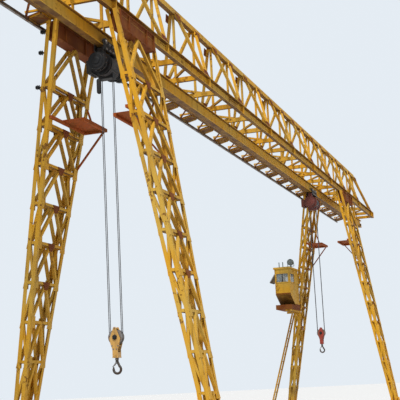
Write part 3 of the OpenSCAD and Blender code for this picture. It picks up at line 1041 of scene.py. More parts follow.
    @classmethod
    def bolt(cls, name: str, size: float) -> bpy.types.Object:
        """Model a hexagon head on its washer, standing on z = 0.

        Args:
            name: Its name.
            size: Radius of the head.

        Returns:
            The piece.
        """
        rings = ((-size * 0.3, size * 1.3), (size * 0.2, size * 1.3), (size * 0.2, size),
                 (size * 0.8, size), (size * 0.95, size * 0.8))
        return cls.turned(name, rings, 6)


@dataclass
class Assembly:
    """What every sub-assembly does with its finished pieces."""

    dresser: Dresser

    def fit(self, made: bpy.types.Object, slot: Slot, body: Body = Body.FRAME) -> None:
        """Dress a piece, let it ride on a body, and report it.

        Args:
            made: The piece.
            slot: Its finish.
            body: What it moves with.
        """
        self.dresser.dress(made, slot)
        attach(made, body.value)
        LOG.info(
            "%s: %s on %s, %d faces", made.name, slot.value, body.value, len(made.data.polygons)
        )


@dataclass
class GirderFittings(Assembly):
    """Gussets, ribs, splices and bolts of the girder, and the rail's rubber stops."""

    plate_t: float = 0.012
    low_gusset: tuple[float, float, float] = (0.50, 0.24, 0.25)
    top_gusset: tuple[float, float, float] = (0.16, 0.36, 0.18)
    bolt: float = 0.015
    splice_half: float = 0.36
    splices: tuple[float, ...] = (-9.0, -3.75, 3.75, 9.0)
    stop_x: float = 18.315
    low_bolts: Offsets = ((-0.17, 0.05), (0.17, 0.05), (-0.08, 0.16), (0.08, 0.16))
    top_bolts: Offsets = ((-0.10, -0.06), (0.10, -0.06))
    splice_bolts: tuple[float, ...] = (0.05, 0.14, 0.23, 0.32)
    stop_rubber: Rings = (
        (0.0, 0.034), (0.008, 0.034), (0.008, 0.026), (0.05, 0.029), (0.058, 0.02)
    )

    def web_point(self, x: float, z: float, side: int, gap: float) -> Vector:
        """Find a point on a web plane.

        Args:
            x: Its place along the girder.
            z: Its height.
            side: 1 for the left web, -1 for the right one.
            gap: Its distance outwards from the plane.

        Returns:
            The point.
        """
        y = SIZES.chord_y - (z - SIZES.chord_z) * math.tan(SIZES.web_tilt)
        return Vector((x, side * y, z)) + self.outwards(side) * gap

    def outwards(self, side: int) -> Vector:
        """The outward normal of a web plane."""
        return Vector((0.0, side * math.cos(SIZES.web_tilt), math.sin(SIZES.web_tilt)))

    def gussets(self) -> None:
        """Plates over the web's joints at the lower chords and under the top chord."""
        gap = SIZES.web_d / 2 + self.plate_t / 2 - 0.001
        tilt = SIZES.web_tilt
        foot_z = SIZES.chord_top - 0.015
        low = Bench.plate("girder_low_gussets", *self.low_gusset, self.plate_t)
        places = [
            spot(self.web_point(x, foot_z, side, face * gap), side * tilt)
            for x in SIZES.low_nodes for side in (1, -1) for face in (1, -1)
        ]
        self.fit(Bench.copies(low, places), Slot.PRIMER)
        head_z = SIZES.top_z - SIZES.top_h / 2 - self.top_gusset[2]
        top = Bench.plate("girder_top_gussets", *self.top_gusset, self.plate_t)
        places = [
            spot(self.web_point(x, head_z, side, gap), side * tilt)
            for x in SIZES.top_nodes for side in (1, -1)
        ]
        self.fit(Bench.copies(top, places), Slot.PRIMER)

    def gusset_bolts(self) -> None:
        """Bolts through the gussets."""
        gap = SIZES.web_d / 2 + self.plate_t - 0.001
        low_z, top_z = SIZES.chord_top, SIZES.top_z - SIZES.top_h / 2
        rows = [(x, low_z, offset) for x in SIZES.low_nodes for offset in self.low_bolts]
        rows += [(x, top_z, offset) for x in SIZES.top_nodes for offset in self.top_bolts]
        places = [
            aim(self.web_point(x + across, z + up, side, gap), self.outwards(side))
            for x, z, (across, up) in rows for side in (1, -1)
        ]
        self.fit(Bench.copies(Bench.bolt("girder_bolts", self.bolt), places), Slot.PRIMER)

    def chord_ribs(self) -> None:
        """Plates across the lower chords' channels, and plates over their ends."""
        y0 = SIZES.chord_y - SIZES.chord_b / 2 + SIZES.chord_t - 0.001
        y1 = SIZES.chord_y + SIZES.chord_b / 2 - 0.003
        z0, z1 = SIZES.chord_low + SIZES.chord_t - 0.001, SIZES.chord_top - SIZES.chord_t + 0.001
        rib = Bench.block("chord_ribs", (-0.006, y0, z0), (0.006, y1, z1), 0.0015)
        nodes = [spot((x, 0.0, 0.0), flip=flip) for x in SIZES.low_nodes for flip in (False, True)]
        self.fit(Bench.copies(rib, nodes), Slot.YELLOW)
        end = Bench.block(
            "chord_ends", (SIZES.girder_half - 0.014, y0, z0), (SIZES.girder_half - 0.001, y1, z1),
            0.002
        )
        both = [
            spot((0.0, 0.0, 0.0)), spot((-2 * SIZES.girder_half + 0.015, 0.0, 0.0)),
            spot((0.0, 0.0, 0.0), flip=True),
            spot((2 * SIZES.girder_half - 0.015, 0.0, 0.0), flip=True)
        ]
        self.fit(Bench.copies(end, both), Slot.YELLOW)

    def chord_splices(self) -> None:
        """Bolted splice plates on both faces of the lower chords' webs."""
        web = SIZES.chord_y - SIZES.chord_b / 2
        faces = ((web - self.plate_t + 0.001, -1), (web + SIZES.chord_t - 0.001, 1))
        plates, heads = [], []
        for low_y, way in faces:
            for x in self.splices:
                for flip in (False, True):
                    turn = -1 if flip else 1
                    plates.append(spot((x, turn * low_y, 0.0), flip=flip))
                    face_y = low_y if way < 0 else low_y + self.plate_t
                    for dx in self.splice_bolts:
                        for sx in (-1, 1):
                            for z in (SIZES.chord_z - 0.06, SIZES.chord_z + 0.06):
                                heads.append(
                                    aim((x + sx * dx, turn * face_y, z), (0.0, turn * way, 0.0))
                                )
        plate = Bench.block(
            "chord_splices", (-self.splice_half, 0.0, SIZES.chord_z - 0.1),
            (self.splice_half, self.plate_t, SIZES.chord_z + 0.1), 0.002,
        )
        self.fit(Bench.copies(plate, plates), Slot.YELLOW)
        self.fit(Bench.copies(Bench.bolt("chord_splice_bolts", self.bolt), heads), Slot.PRIMER)

    def rail_stops(self) -> None:
        """Rubber buffers on the stops at both ends of the hoist rail."""
        rubber = Bench.turned("rail_stop_rubbers", self.stop_rubber, 20)
        z = SIZES.rail_low + SIZES.rail_fl + 0.09
        places = [
            aim((sx * self.stop_x, sy * 0.045, z), (-sx, 0.0, 0.0)) for sx, sy in CORNERS
        ]
        self.fit(Bench.copies(rubber, places), Slot.BLACK)

    def build(self) -> None:
        """Make every fitting of the girder."""
        self.gussets()
        self.gusset_bolts()
        self.chord_ribs()
        self.chord_splices()
        self.rail_stops()


@dataclass
class TrackFittings(Assembly):
    """Struts and flat plates that tie the cable track to the left lower chord."""

    reach: float = 0.48
    strut: tuple[float, float] = (0.05, 0.01)

    def struts(self) -> None:
        """A pair of slanting flat bars in every bay, and a knee under every arm."""
        y0, y1 = SIZES.chord_y + SIZES.chord_b / 2 - 0.012, SIZES.track_y - 0.006
        z0, z1 = SIZES.chord_low - 0.003, SIZES.track_z + SIZES.track_h + 0.003
        pair = [
            Bench.bar("strut", (side * self.reach, y0, z0), (side * 0.03, y1, z1), *self.strut)
            for side in (-1, 1)
        ]
        knee = Bench.bar("knee", (0.0, y0 + 0.01, z0), (0.0, y1, z1 + 0.004), 0.044, 0.008)
        whole = Bench.join("track_struts", *pair, knee)
        self.fit(Bench.copies(whole, [spot((x, 0.0, 0.0)) for x in SIZES.top_nodes]), Slot.PRIMER)

    def plates(self) -> None:
        """A thin plate beside every arm, from the chord's edge down to the track."""
        y0, y1 = SIZES.chord_y + SIZES.chord_b / 2 - 0.01, SIZES.track_y - 0.01
        drop = SIZES.chord_low - SIZES.track_z - SIZES.track_h - 0.008
        long = math.hypot(y1 - y0, drop)
        sheet = Bench.case("track_plates", (0.04, 0.0, -0.012), (0.50, long, -0.004), 0.0015, 0.03)
        tilt = -math.atan2(drop, y1 - y0)
        places = [spot((x, y0, SIZES.chord_low + 0.004), tilt) for x in SIZES.top_nodes]
        self.fit(Bench.copies(sheet, places), Slot.YELLOW)

    def build(self) -> None:
        """Make every fitting of the cable track."""
        self.struts()
        self.plates()


@dataclass
class LegFittings(Assembly):
    """Gussets, head bars, foot ribs and bolts of the four legs."""

    plate_t: float = 0.015
    post_gusset: tuple[float, float, float] = (0.21, 0.13, 0.24)
    mid_gusset: tuple[float, float, float] = (0.12, 0.30, 0.16)
    mid_count: int = 12
    head_bar_z: float = 9.1
    saddle_pitch: float = 0.24
    foot_bolt: float = 0.018
    insulator_z: tuple[float, ...] = (8.92, 8.50, 7.80)
    insulator: Rings = (
        (0.0, 0.018), (0.045, 0.018), (0.045, 0.046), (0.062, 0.05), (0.07, 0.03), (0.08, 0.046),
        (0.097, 0.05), (0.105, 0.03), (0.115, 0.042), (0.13, 0.034), (0.138, 0.012),
    )
    bolt: float = 0.013
    legs: tuple[tuple[str, int, int], ...] = (
        ("near_left", -1, 1), ("near_right", -1, -1), ("far_left", 1, 1), ("far_right", 1, -1),
    )

    @property
    def tilt(self) -> float:
        """Angle of a leg from the vertical, across the girder."""
        return math.atan(SIZES.splay)

    def layer(self, sx: int, sy: int, dx: float, z: float, face: float) -> Vector:
        """Find a point beside a leg's middle plane.

        Args:
            sx: -1 for a near leg, 1 for a far one.
            sy: 1 for a left leg, -1 for a right one.
            dx: Its place along the girder from the leg's middle.
            z: Its height.
            face: Its distance outwards from the leg's middle plane.

        Returns:
            The point.
        """
        return Vector((sx * SIZES.leg_x + dx, sy * (SIZES.leg_y(z) + face), z))

    def gussets(self, name: str, sx: int, sy: int) -> None:
        """Plates over the joints of posts, rungs and diagonals in both layers.

        Args:
            name: The leg's name.
            sx: -1 for a near leg, 1 for a far one.
            sy: 1 for a left leg, -1 for a right one.
        """
        lift = SIZES.layer_gap / 2 + SIZES.brace_d / 2 + self.plate_t / 2 - 0.001
        ends, mids = [], []
        for z in SIZES.rungs:
            half = SIZES.leg_w(z) / 2
            for ey in (-1, 1):
                low = z - self.post_gusset[2] / 2
                inset = min(0.05, half * 0.15)
                ends += [
                    spot(self.layer(sx, sy, ex * (half - inset), low, ey * lift), sy * self.tilt)
                    for ex in (-1, 1)
                ]
                low = z - self.mid_gusset[2] + SIZES.brace_d / 2
                mids.append(spot(self.layer(sx, sy, 0.0, low, ey * lift), sy * self.tilt))
        plate = Bench.plate(f"leg_{name}_gussets", *self.post_gusset, self.plate_t)
        self.fit(Bench.copies(plate, ends), Slot.YELLOW)
        plate = Bench.plate(f"leg_{name}_middle_gussets", *self.mid_gusset, self.plate_t)
        self.fit(Bench.copies(plate, mids[:self.mid_count]), Slot.PRIMER)

    def heads(self) -> None:
        """Bars that tie the outer posts' heads, and the bolts under the saddles."""
        z = self.head_bar_z
        face = SIZES.layer_gap / 2 + SIZES.post_d / 2 + 0.005
        bar = Bench.block("leg_head_bars", (-1.02, -0.006, -0.045), (1.02, 0.006, 0.045), 0.003)
        places = [
            spot(self.layer(sx, sy, 0.0, z, face), sy * self.tilt) for _name, sx, sy in self.legs
        ]
        self.fit(Bench.copies(bar, places), Slot.YELLOW)
        heads = [
            aim(
                self.layer(sx, sy, (dx + 0.5) * self.saddle_pitch, SIZES.leg_top, across),
                (0.0, 0.0, -1.0)
            )
            for _name, sx, sy in self.legs for dx in range(-4, 4) for across in (-0.1, 0.1)
        ]
        self.fit(Bench.copies(Bench.bolt("saddle_bolts", self.bolt), heads), Slot.PRIMER)

    def feet(self) -> None:
        """Ribs round the legs' feet, and the bolts of the foot plates."""
        z = SIZES.leg_foot
        half = SIZES.leg_w(z) / 2
        out = SIZES.post_d / 2 - 0.004
        rib = Bench.plate("leg_foot_ribs", 0.12, 0.03, 0.17, 0.012)
        places = []
        for _name, sx, sy in self.legs:
            for ex in (-1, 1):
                for ey in (-1, 1):
                    side = ey * SIZES.layer_gap / 2
                    places.append(spot(self.layer(sx, sy, ex * (half + out), z, side)))
                    end = ey * (SIZES.layer_gap / 2 + out)
                    places.append(spot(self.layer(sx, sy, ex * half, z, end), math.pi / 2, "Z"))
        self.fit(Bench.copies(rib, places), Slot.YELLOW)
        heads = [
            aim(self.layer(sx, sy, dx, z, across), (0.0, 0.0, 1.0))
            for _name, sx, sy in self.legs for dx in (-0.1, 0.1) for across in (-0.155, 0.155)
        ]
        self.fit(Bench.copies(Bench.bolt("leg_foot_bolts", self.foot_bolt), heads), Slot.STEEL)

    def insulators(self) -> None:
        """Cable insulators on the near left leg's outer corner post."""
        face = SIZES.layer_gap / 2 + SIZES.post_d / 2 - 0.004
        places = [
            aim(self.layer(-1, 1, -SIZES.leg_w(z) / 2, z, face), (-0.35, 1.0, 0.0))
            for z in self.insulator_z
        ]
        self.fit(
            Bench.copies(Bench.turned("leg_insulators", self.insulator, 20), places), Slot.BLACK
        )

    def build(self) -> None:
        """Make every fitting of the legs."""
        for name, sx, sy in self.legs:
            self.gussets(name, sx, sy)
        self.heads()
        self.feet()
        self.insulators()


@dataclass
class BeamFittings(Assembly):
    """Flange lips, ribs, hub caps, drives and buffers of the two ground beams."""

    box_half: float = 2.39
    lip: float = 0.018
    lip_t: float = 0.016
    drive_y: float = 2.32
    rib_y: tuple[float, ...] = (-1.8, -1.2, -0.6, 0.0, 0.6, 1.2, 1.8)
    cap_bolt: float = 0.009
    cap_bolts: int = 6
    cap_ring: float = 0.1
    motor_fins: int = 9
    fin_pitch: float = 0.024
    buffer_y: float = 3.0
    bearing_cap: Rings = (
        (-0.004, 0.115), (0.014, 0.115), (0.018, 0.111), (0.018, 0.085), (0.03, 0.08),
        (0.034, 0.072), (0.034, 0.05), (0.026, 0.046)
    )
    rubber: Rings = (
        (-0.004, 0.115), (0.016, 0.115), (0.016, 0.098), (0.05, 0.096), (0.056, 0.101),
        (0.08, 0.101), (0.0906, 0.094), (0.0906, 0.03), (0.0902, 0.026)
    )

    def lips(self) -> None:
        """The flanges' edges and the ribs on both sides of the box."""
        half = SIZES.beam_b / 2
        strips = [
            Bench.block(
                "lip", (half - 0.002, -self.box_half, z),
                (half + self.lip, self.box_half, z + self.lip_t)
            )
            for z in (SIZES.beam_low, SIZES.beam_top - self.lip_t)
        ]
        strips += [
            Bench.block("rib", (half - 0.002, y - 0.006, SIZES.beam_low + 0.014),
                        (half + self.lip - 0.003, y + 0.006, SIZES.beam_top - 0.014), 0.002)
            for y in self.rib_y
        ]
        side = Bench.join("beam_lips_and_ribs", *strips)
        places = [
            spot((sx * SIZES.leg_x, 0.0, 0.0), flip=flip)
            for sx in (-1, 1) for flip in (False, True)
        ]
        self.fit(Bench.copies(side, places), Slot.YELLOW)

    def hubs(self) -> None:
        """Bearing caps on the wheel forks, with their bolts."""
        half = SIZES.beam_b / 2
        cap = Bench.turned("wheel_bearing_caps", self.bearing_cap, 32)
        ends = [
            (Vector((sx * SIZES.leg_x + way * half, sy * SIZES.wheel_base / 2, SIZES.axle_z)), way)
            for sx, sy in CORNERS for way in (-1, 1)
        ]
        self.fit(Bench.copies(cap, [aim(at, (way, 0.0, 0.0)) for at, way in ends]), Slot.BLACK)
        heads = []
        for at, way in ends:
            for turn in range(self.cap_bolts):
                angle = 2 * math.pi * (turn + 0.5) / self.cap_bolts
                across, up = self.cap_ring * math.cos(angle), self.cap_ring * math.sin(angle)
                shift = Vector((way * 0.016, across, up))
                heads.append(aim(at + shift, (way, 0.0, 0.0)))
        self.fit(Bench.copies(Bench.bolt("wheel_cap_bolts", self.cap_bolt), heads), Slot.STEEL)

    def drives(self) -> None:
        """A gear case with its motor at one wheel of each corner pair."""
        half = SIZES.beam_b / 2
        gear = Bench.case(
            "gear", (half - 0.004, -0.13, 0.16), (half + 0.13, 0.13, 0.46), 0.02, 0.018
        )
        flange = Bench.place(
            Bench.turned("flange", ((0.0, 0.1), (0.02, 0.1), (0.02, 0.085), (0.05, 0.08)), 28),
            aim((half + 0.07, -0.125, 0.36), (0.0, -1.0, 0.0)),
        )
        rings: list[Ring] = [(0.0, 0.07)]
        for i in range(self.motor_fins):
            low = 0.01 + i * self.fin_pitch
            rings += [(low, 0.07), (low, 0.084), (low + 0.01, 0.084), (low + 0.01, 0.07)]
        rings += [
            (0.235, 0.07), (0.235, 0.086), (0.30, 0.086), (0.308, 0.078), (0.308, 0.03),
            (0.302, 0.028)
        ]
        motor = Bench.place(
            Bench.turned("motor", rings, 28), aim((half + 0.07, -0.165, 0.36), (0.0, -1.0, 0.0))
        )
        box = Bench.case(
            "box", (half + 0.02, -0.34, 0.43), (half + 0.12, -0.24, 0.475), 0.008, 0.01
        )
        whole = Bench.join("beam_drives", gear, flange, motor, box)
        # a drive stands on the inner side of each beam, at its left and its right wheel
        places = [
            spot((sx * SIZES.leg_x, sy * self.drive_y + 0.2, 0.0), flip=sx > 0)
            for sx, sy in CORNERS
        ]
        self.fit(Bench.copies(whole, places), Slot.BLACK)

    def buffers(self) -> None:
        """Rubber faces and collars on the buffers, and rail sweepers below them."""
        rubber = Bench.turned("buffer_rubbers", self.rubber, 32)
        z = SIZES.beam_top - 0.21
        places = [
            aim((sx * SIZES.leg_x, sy * self.buffer_y, z), (0.0, sy, 0.0)) for sx, sy in CORNERS
        ]
        self.fit(Bench.copies(rubber, places), Slot.BLACK)
        sweeper = Bench.plate("rail_sweepers", 0.12, 0.26, 0.2, 0.014)
        places = [
            spot((sx * SIZES.leg_x, sy * (self.buffer_y - 0.016), 0.03)) for sx, sy in CORNERS
        ]
        self.fit(Bench.copies(sweeper, places), Slot.YELLOW)
        # a cover closes the beam's top over each wheel
        cover = Bench.case(
            "wheel_covers", (-0.158, -0.285, -0.018), (0.158, 0.285, -0.002), 0.003, 0.03
        )
        mid = (self.box_half + self.buffer_y - 0.03) / 2
        places = [spot((sx * SIZES.leg_x, sy * mid, SIZES.beam_top)) for sx, sy in CORNERS]
        self.fit(Bench.copies(cover, places), Slot.YELLOW)

    def build(self) -> None:
        """Make every fitting of the ground beams."""
        self.lips()
        self.hubs()
        self.drives()
        self.buffers()


@dataclass
class CabFittings(Assembly):
    """Window frames, flap, doorway, roof edges, seat, levers and lamp glass of the cab."""

    x0: float = 9.0716
    x1: float = 10.4516
    y0: float = 1.3
    y1: float = 1.9
    floor: float = 4.66
    knee: float = 5.06
    sill: float = 5.54
    head: float = 5.88
    roof: float = 6.08
    roof_t: float = 0.05
    side_low: float = 9.1516
    side_high: float = 9.7892
    lamp: tuple[float, float, float] = (9.6766, 1.39, 6.37)
    bead_x: tuple[float, ...] = (9.95, 10.12, 10.29)
    rivets_long: int = 13
    rivets_wide: int = 6
    rivet_pitch: tuple[float, float] = (0.105, 0.1)
    seat_at: tuple[float, float] = (10.02, 1.6)
    stand_x: tuple[float, float] = (9.86, 10.14)
    stand_y: tuple[float, float] = (1.345, 1.795)
    stand_top: float = 5.24
    lever_x: tuple[float, float] = (9.93, 10.05)
    hinge: Rings = ((0.0, 0.008), (0.004, 0.01), (0.14, 0.01), (0.144, 0.008))
    grab_rail: Rings = ((0.0, 0.01), (0.0, 0.011), (0.72, 0.011), (0.72, 0.01))
    rivet: Rings = ((-0.002, 0.009), (0.001, 0.009), (0.004, 0.0065), (0.005, 0.003))
    column: Rings = (
        (0.0, 0.13), (0.012, 0.13), (0.02, 0.05), (0.10, 0.034), (0.40, 0.034), (0.41, 0.1),
        (0.425, 0.1)
    )
    lever: Rings = (
        (0.0, 0.016), (0.01, 0.012), (0.014, 0.005), (0.11, 0.005), (0.112, 0.011), (0.122, 0.017),
        (0.134, 0.017), (0.144, 0.011), (0.147, 0.004),
    )
    lamp_rim: Rings = (
        (-0.03, 0.1205), (-0.03, 0.127), (0.012, 0.127), (0.012, 0.112), (0.002, 0.108)
    )
    reflector: Rings = ((-0.002, 0.105), (0.001, 0.105), (0.001, 0.07), (0.002, 0.03))
    lens: Rings = ((0.002, 0.1105), (0.006, 0.1105), (0.012, 0.09), (0.016, 0.06), (0.018, 0.03))

    @property
    def pane_z(self) -> float:
        """Height of the windows' middle."""
        return (self.sill + self.head) / 2

    def windows(self) -> None:
        """Frames and glazing bars round the front window and the two side windows."""
        mid_y = (self.y0 + self.y1) / 2
        mid_x = (self.side_low + self.side_high) / 2
        wide, tall = self.side_high - self.side_low, self.head - self.sill
        front = Bench.place(
            Bench.surround("front", self.y1 - self.y0 - 0.06, tall + 0.06, 0.04, 0.022),
            spot((self.x0 - 0.004, mid_y, self.pane_z), math.pi / 2, "Z"),
        )
        sides = [
            Bench.place(Bench.surround("side", wide + 0.06, tall + 0.06, 0.04, 0.022),
                        spot((mid_x, y, self.pane_z)))
            for y in (self.y0 - 0.004, self.y1 + 0.004)
        ]
        self.fit(Bench.join("cab_window_frames", front, *sides), Slot.YELLOW)
        post = [Bench.block("post", (self.x0 + 0.002, mid_y - 0.016, self.sill + 0.008),
                            (self.x0 + 0.03, mid_y + 0.016, self.head - 0.008))]
        post += [
            Bench.block("post", (mid_x - 0.012, y - 0.014, self.sill + 0.008),
                        (mid_x + 0.012, y + 0.014, self.head - 0.008))
            for y in (self.y0 + 0.014, self.y1 - 0.014)
        ]
        self.fit(Bench.join("cab_window_posts", *post), Slot.BLACK)

    def flap(self) -> None:
        """A shade flap over the left window, held open by two stays."""
        top, low = (self.y1 + 0.022, self.head - 0.004), (self.y1 + 0.235, self.sill + 0.02)
        long = math.hypot(low[0] - top[0], top[1] - low[1])
        low_corner, high_corner = (self.side_low, -0.006, -long), (self.side_high, 0.004, 0.0)
        sheet = Bench.case("cab_flap", low_corner, high_corner, 0.0018, 0.022)
        tilt = math.atan2(low[0] - top[0], top[1] - low[1])
        self.fit(Bench.place(sheet, spot((0.0, *top), tilt)), Slot.STEEL)
        stays = [
            Bench.bar(
                "stay", (x, self.y1 + 0.002, self.sill - 0.05), (x, low[0] - 0.012, low[1] + 0.01),
                0.014, 0.006
            )
            for x in (self.side_low + 0.05, self.side_high - 0.05)
        ]
        hinges = [
            Bench.place(
                Bench.turned("hinge", self.hinge, 12),
                aim((x, self.y1 + 0.018, self.head + 0.002), (1.0, 0.0, 0.0)),
            ) for x in (self.side_low + 0.06, self.side_high - 0.2)
        ]
        self.fit(Bench.join("cab_flap_stays", *hinges, *stays), Slot.BLACK)

    def doorway(self) -> None:
        """Frame of the doorway and grab rails on both sides of it."""
        mid_y = (self.y0 + self.y1) / 2
        tall = self.head - self.floor + 0.03
        frame = Bench.place(
            Bench.surround("cab_door_frame", 0.52, tall, 0.042, 0.02),
            spot((self.x1 + 0.004, mid_y, self.floor + 0.002 + tall / 2), math.pi / 2, "Z"),
        )
        self.fit(frame, Slot.YELLOW)
        rails = []
        for y in (self.y0 - 0.045, self.y1 + 0.045):
            side = 1 if y > mid_y else -1
            x = self.x1 - 0.1
            rails.append(
                Bench.place(
                    Bench.turned("rail", self.grab_rail, 16),
                    aim((x, y, self.floor + 0.16), (0, 0, 1))
                )
            )
            for z in (self.floor + 0.19, self.floor + 0.85):
                rails.append(Bench.bar("foot", (x, y - side * 0.05, z), (x, y, z), 0.02, 0.014))
        self.fit(Bench.join("cab_grab_rails", *rails), Slot.STEEL)

    def roof_edges(self) -> None:
        """Drip edge under the roof's rim, beads on its top, and rivets along the walls."""
        grow = 0.04
        low_x, high_x = self.x0 - grow, self.x1 + grow
        low_y, high_y = self.y0 - grow, self.y1 + grow
        z0, z1 = self.roof - 0.022, self.roof + 0.004
        strips = [
            Bench.block("strip", (low_x + 0.002, y, z0), (high_x - 0.002, y + 0.006, z1), 0.0015)
            for y in (low_y + 0.002, high_y - 0.008)
        ]
        strips += [
            Bench.block("strip", (x, low_y + 0.002, z0), (x + 0.006, high_y - 0.002, z1), 0.0015)
            for x in (low_x + 0.002, high_x - 0.008)
        ]
        top = self.roof + self.roof_t
        strips += [
            Bench.block(
                "bead", (x, low_y + 0.03, top - 0.003), (x + 0.03, high_y - 0.03, top + 0.009),
                0.006
            )
            for x in self.bead_x
        ]
        self.fit(Bench.join("cab_roof_edges", *strips), Slot.YELLOW)
        walls, slab = [], []
        for i in range(self.rivets_long):
            x = self.x0 + 0.06 + i * self.rivet_pitch[0]
            for y, way in ((self.y0, -1), (self.y1, 1)):
                walls.append(aim((x, y, self.roof - 0.05), (0.0, way, 0.0)))
                slab.append(aim((x, y + way * 0.02, self.floor - 0.03), (0.0, way, 0.0)))
        for i in range(self.rivets_wide):
            y = self.y0 + 0.05 + i * self.rivet_pitch[1]
            walls += [
                aim((self.x0, y, z), (-1.0, 0.0, 0.0)) for z in (self.roof - 0.05, self.knee + 0.03)
            ]
            slab.append(aim((self.x0 - 0.02, y, self.floor - 0.03), (-1.0, 0.0, 0.0)))
        self.fit(Bench.copies(Bench.turned("cab_rivets", self.rivet, 10), walls), Slot.YELLOW)
        self.fit(Bench.copies(Bench.turned("cab_floor_rivets", self.rivet, 10), slab), Slot.PRIMER)
        band = [
            Bench.block(
                "band", (self.x0 + 0.69, y, self.floor + 0.004),
                (self.x1 - 0.004, y + 0.01, self.floor + 0.05)
            )
            for y in (self.y0 - 0.008, self.y1 - 0.002)
        ]
        band.append(Bench.block("band", (self.x0 - 0.008, self.y0 + 0.004, self.knee + 0.004),
                                (self.x0 + 0.002, self.y1 - 0.004, self.knee + 0.05)))
        self.fit(Bench.join("cab_wall_bands", *band), Slot.PRIMER)

    def seat(self) -> None:
        """A bare shell seat on its column, and the two lever stands beside it."""
        column = Bench.place(
            Bench.turned("column", self.column, 28), spot((*self.seat_at, self.floor))
        )
        pan = Bench.case("pan", (9.82, 1.43, 5.08), (10.22, 1.77, 5.12), 0.012, 0.04)
        back = Bench.place(
            Bench.case("back", (-0.016, -0.16, 0.0), (0.016, 0.16, 0.46), 0.012, 0.04),
            spot((10.2, 1.6, 5.11), math.radians(9.0), "Y"),
        )
        self.fit(Bench.join("cab_seat", column, pan, back), Slot.BLACK)
        stands = []
        for y in self.stand_y:
            low = (self.stand_x[0], y, self.floor - 0.002)
            high = (self.stand_x[1], y + 0.06, self.stand_top)
            stands.append(Bench.case("stand", low, high, 0.01, 0.012))
            for x in self.lever_x:
                lever = Bench.turned("lever", self.lever, 16)
                foot = (x, y + 0.03, self.stand_top - 0.002)
                stands.append(Bench.place(lever, aim(foot, (0.15, 0.0, 1.0))))
        self.fit(Bench.join("cab_levers", *stands), Slot.STEEL)

    def lamp_glass(self) -> None:
        """Rim, reflector and lens of the floodlight, and a guard over it."""
        rounds = (
            ("lamp_rim", self.lamp_rim, Slot.LAMP),
            ("lamp_reflector", self.reflector, Slot.STEEL),
            ("lamp_lens", self.lens, Slot.GLASS),
        )
        for name, rings, slot in rounds:
            made = Bench.turned(name, rings, 40)
            self.fit(Bench.place(made, aim(self.lamp, (-1.0, 0.0, 0.0))), slot)
        x, y, z = self.lamp
        arms = [
            Bench.bar(
                "arm", (x + 0.05, y + way * 0.124, z), (x + 0.085, y + way * 0.124, z - 0.16),
                0.022, 0.006
            )
            for way in (-1, 1)
        ]
        arms.append(
            Bench.block(
                "foot", (x + 0.074, y - 0.128, z - 0.168), (x + 0.098, y + 0.128, z - 0.152), 0.002
            )
        )
        self.fit(Bench.join("lamp_bracket", *arms), Slot.LAMP)

    def build(self) -> None:
        """Make every fitting of the cab."""
        self.windows()
        self.flap()
        self.doorway()
        self.roof_edges()
        self.seat()
        self.lamp_glass()


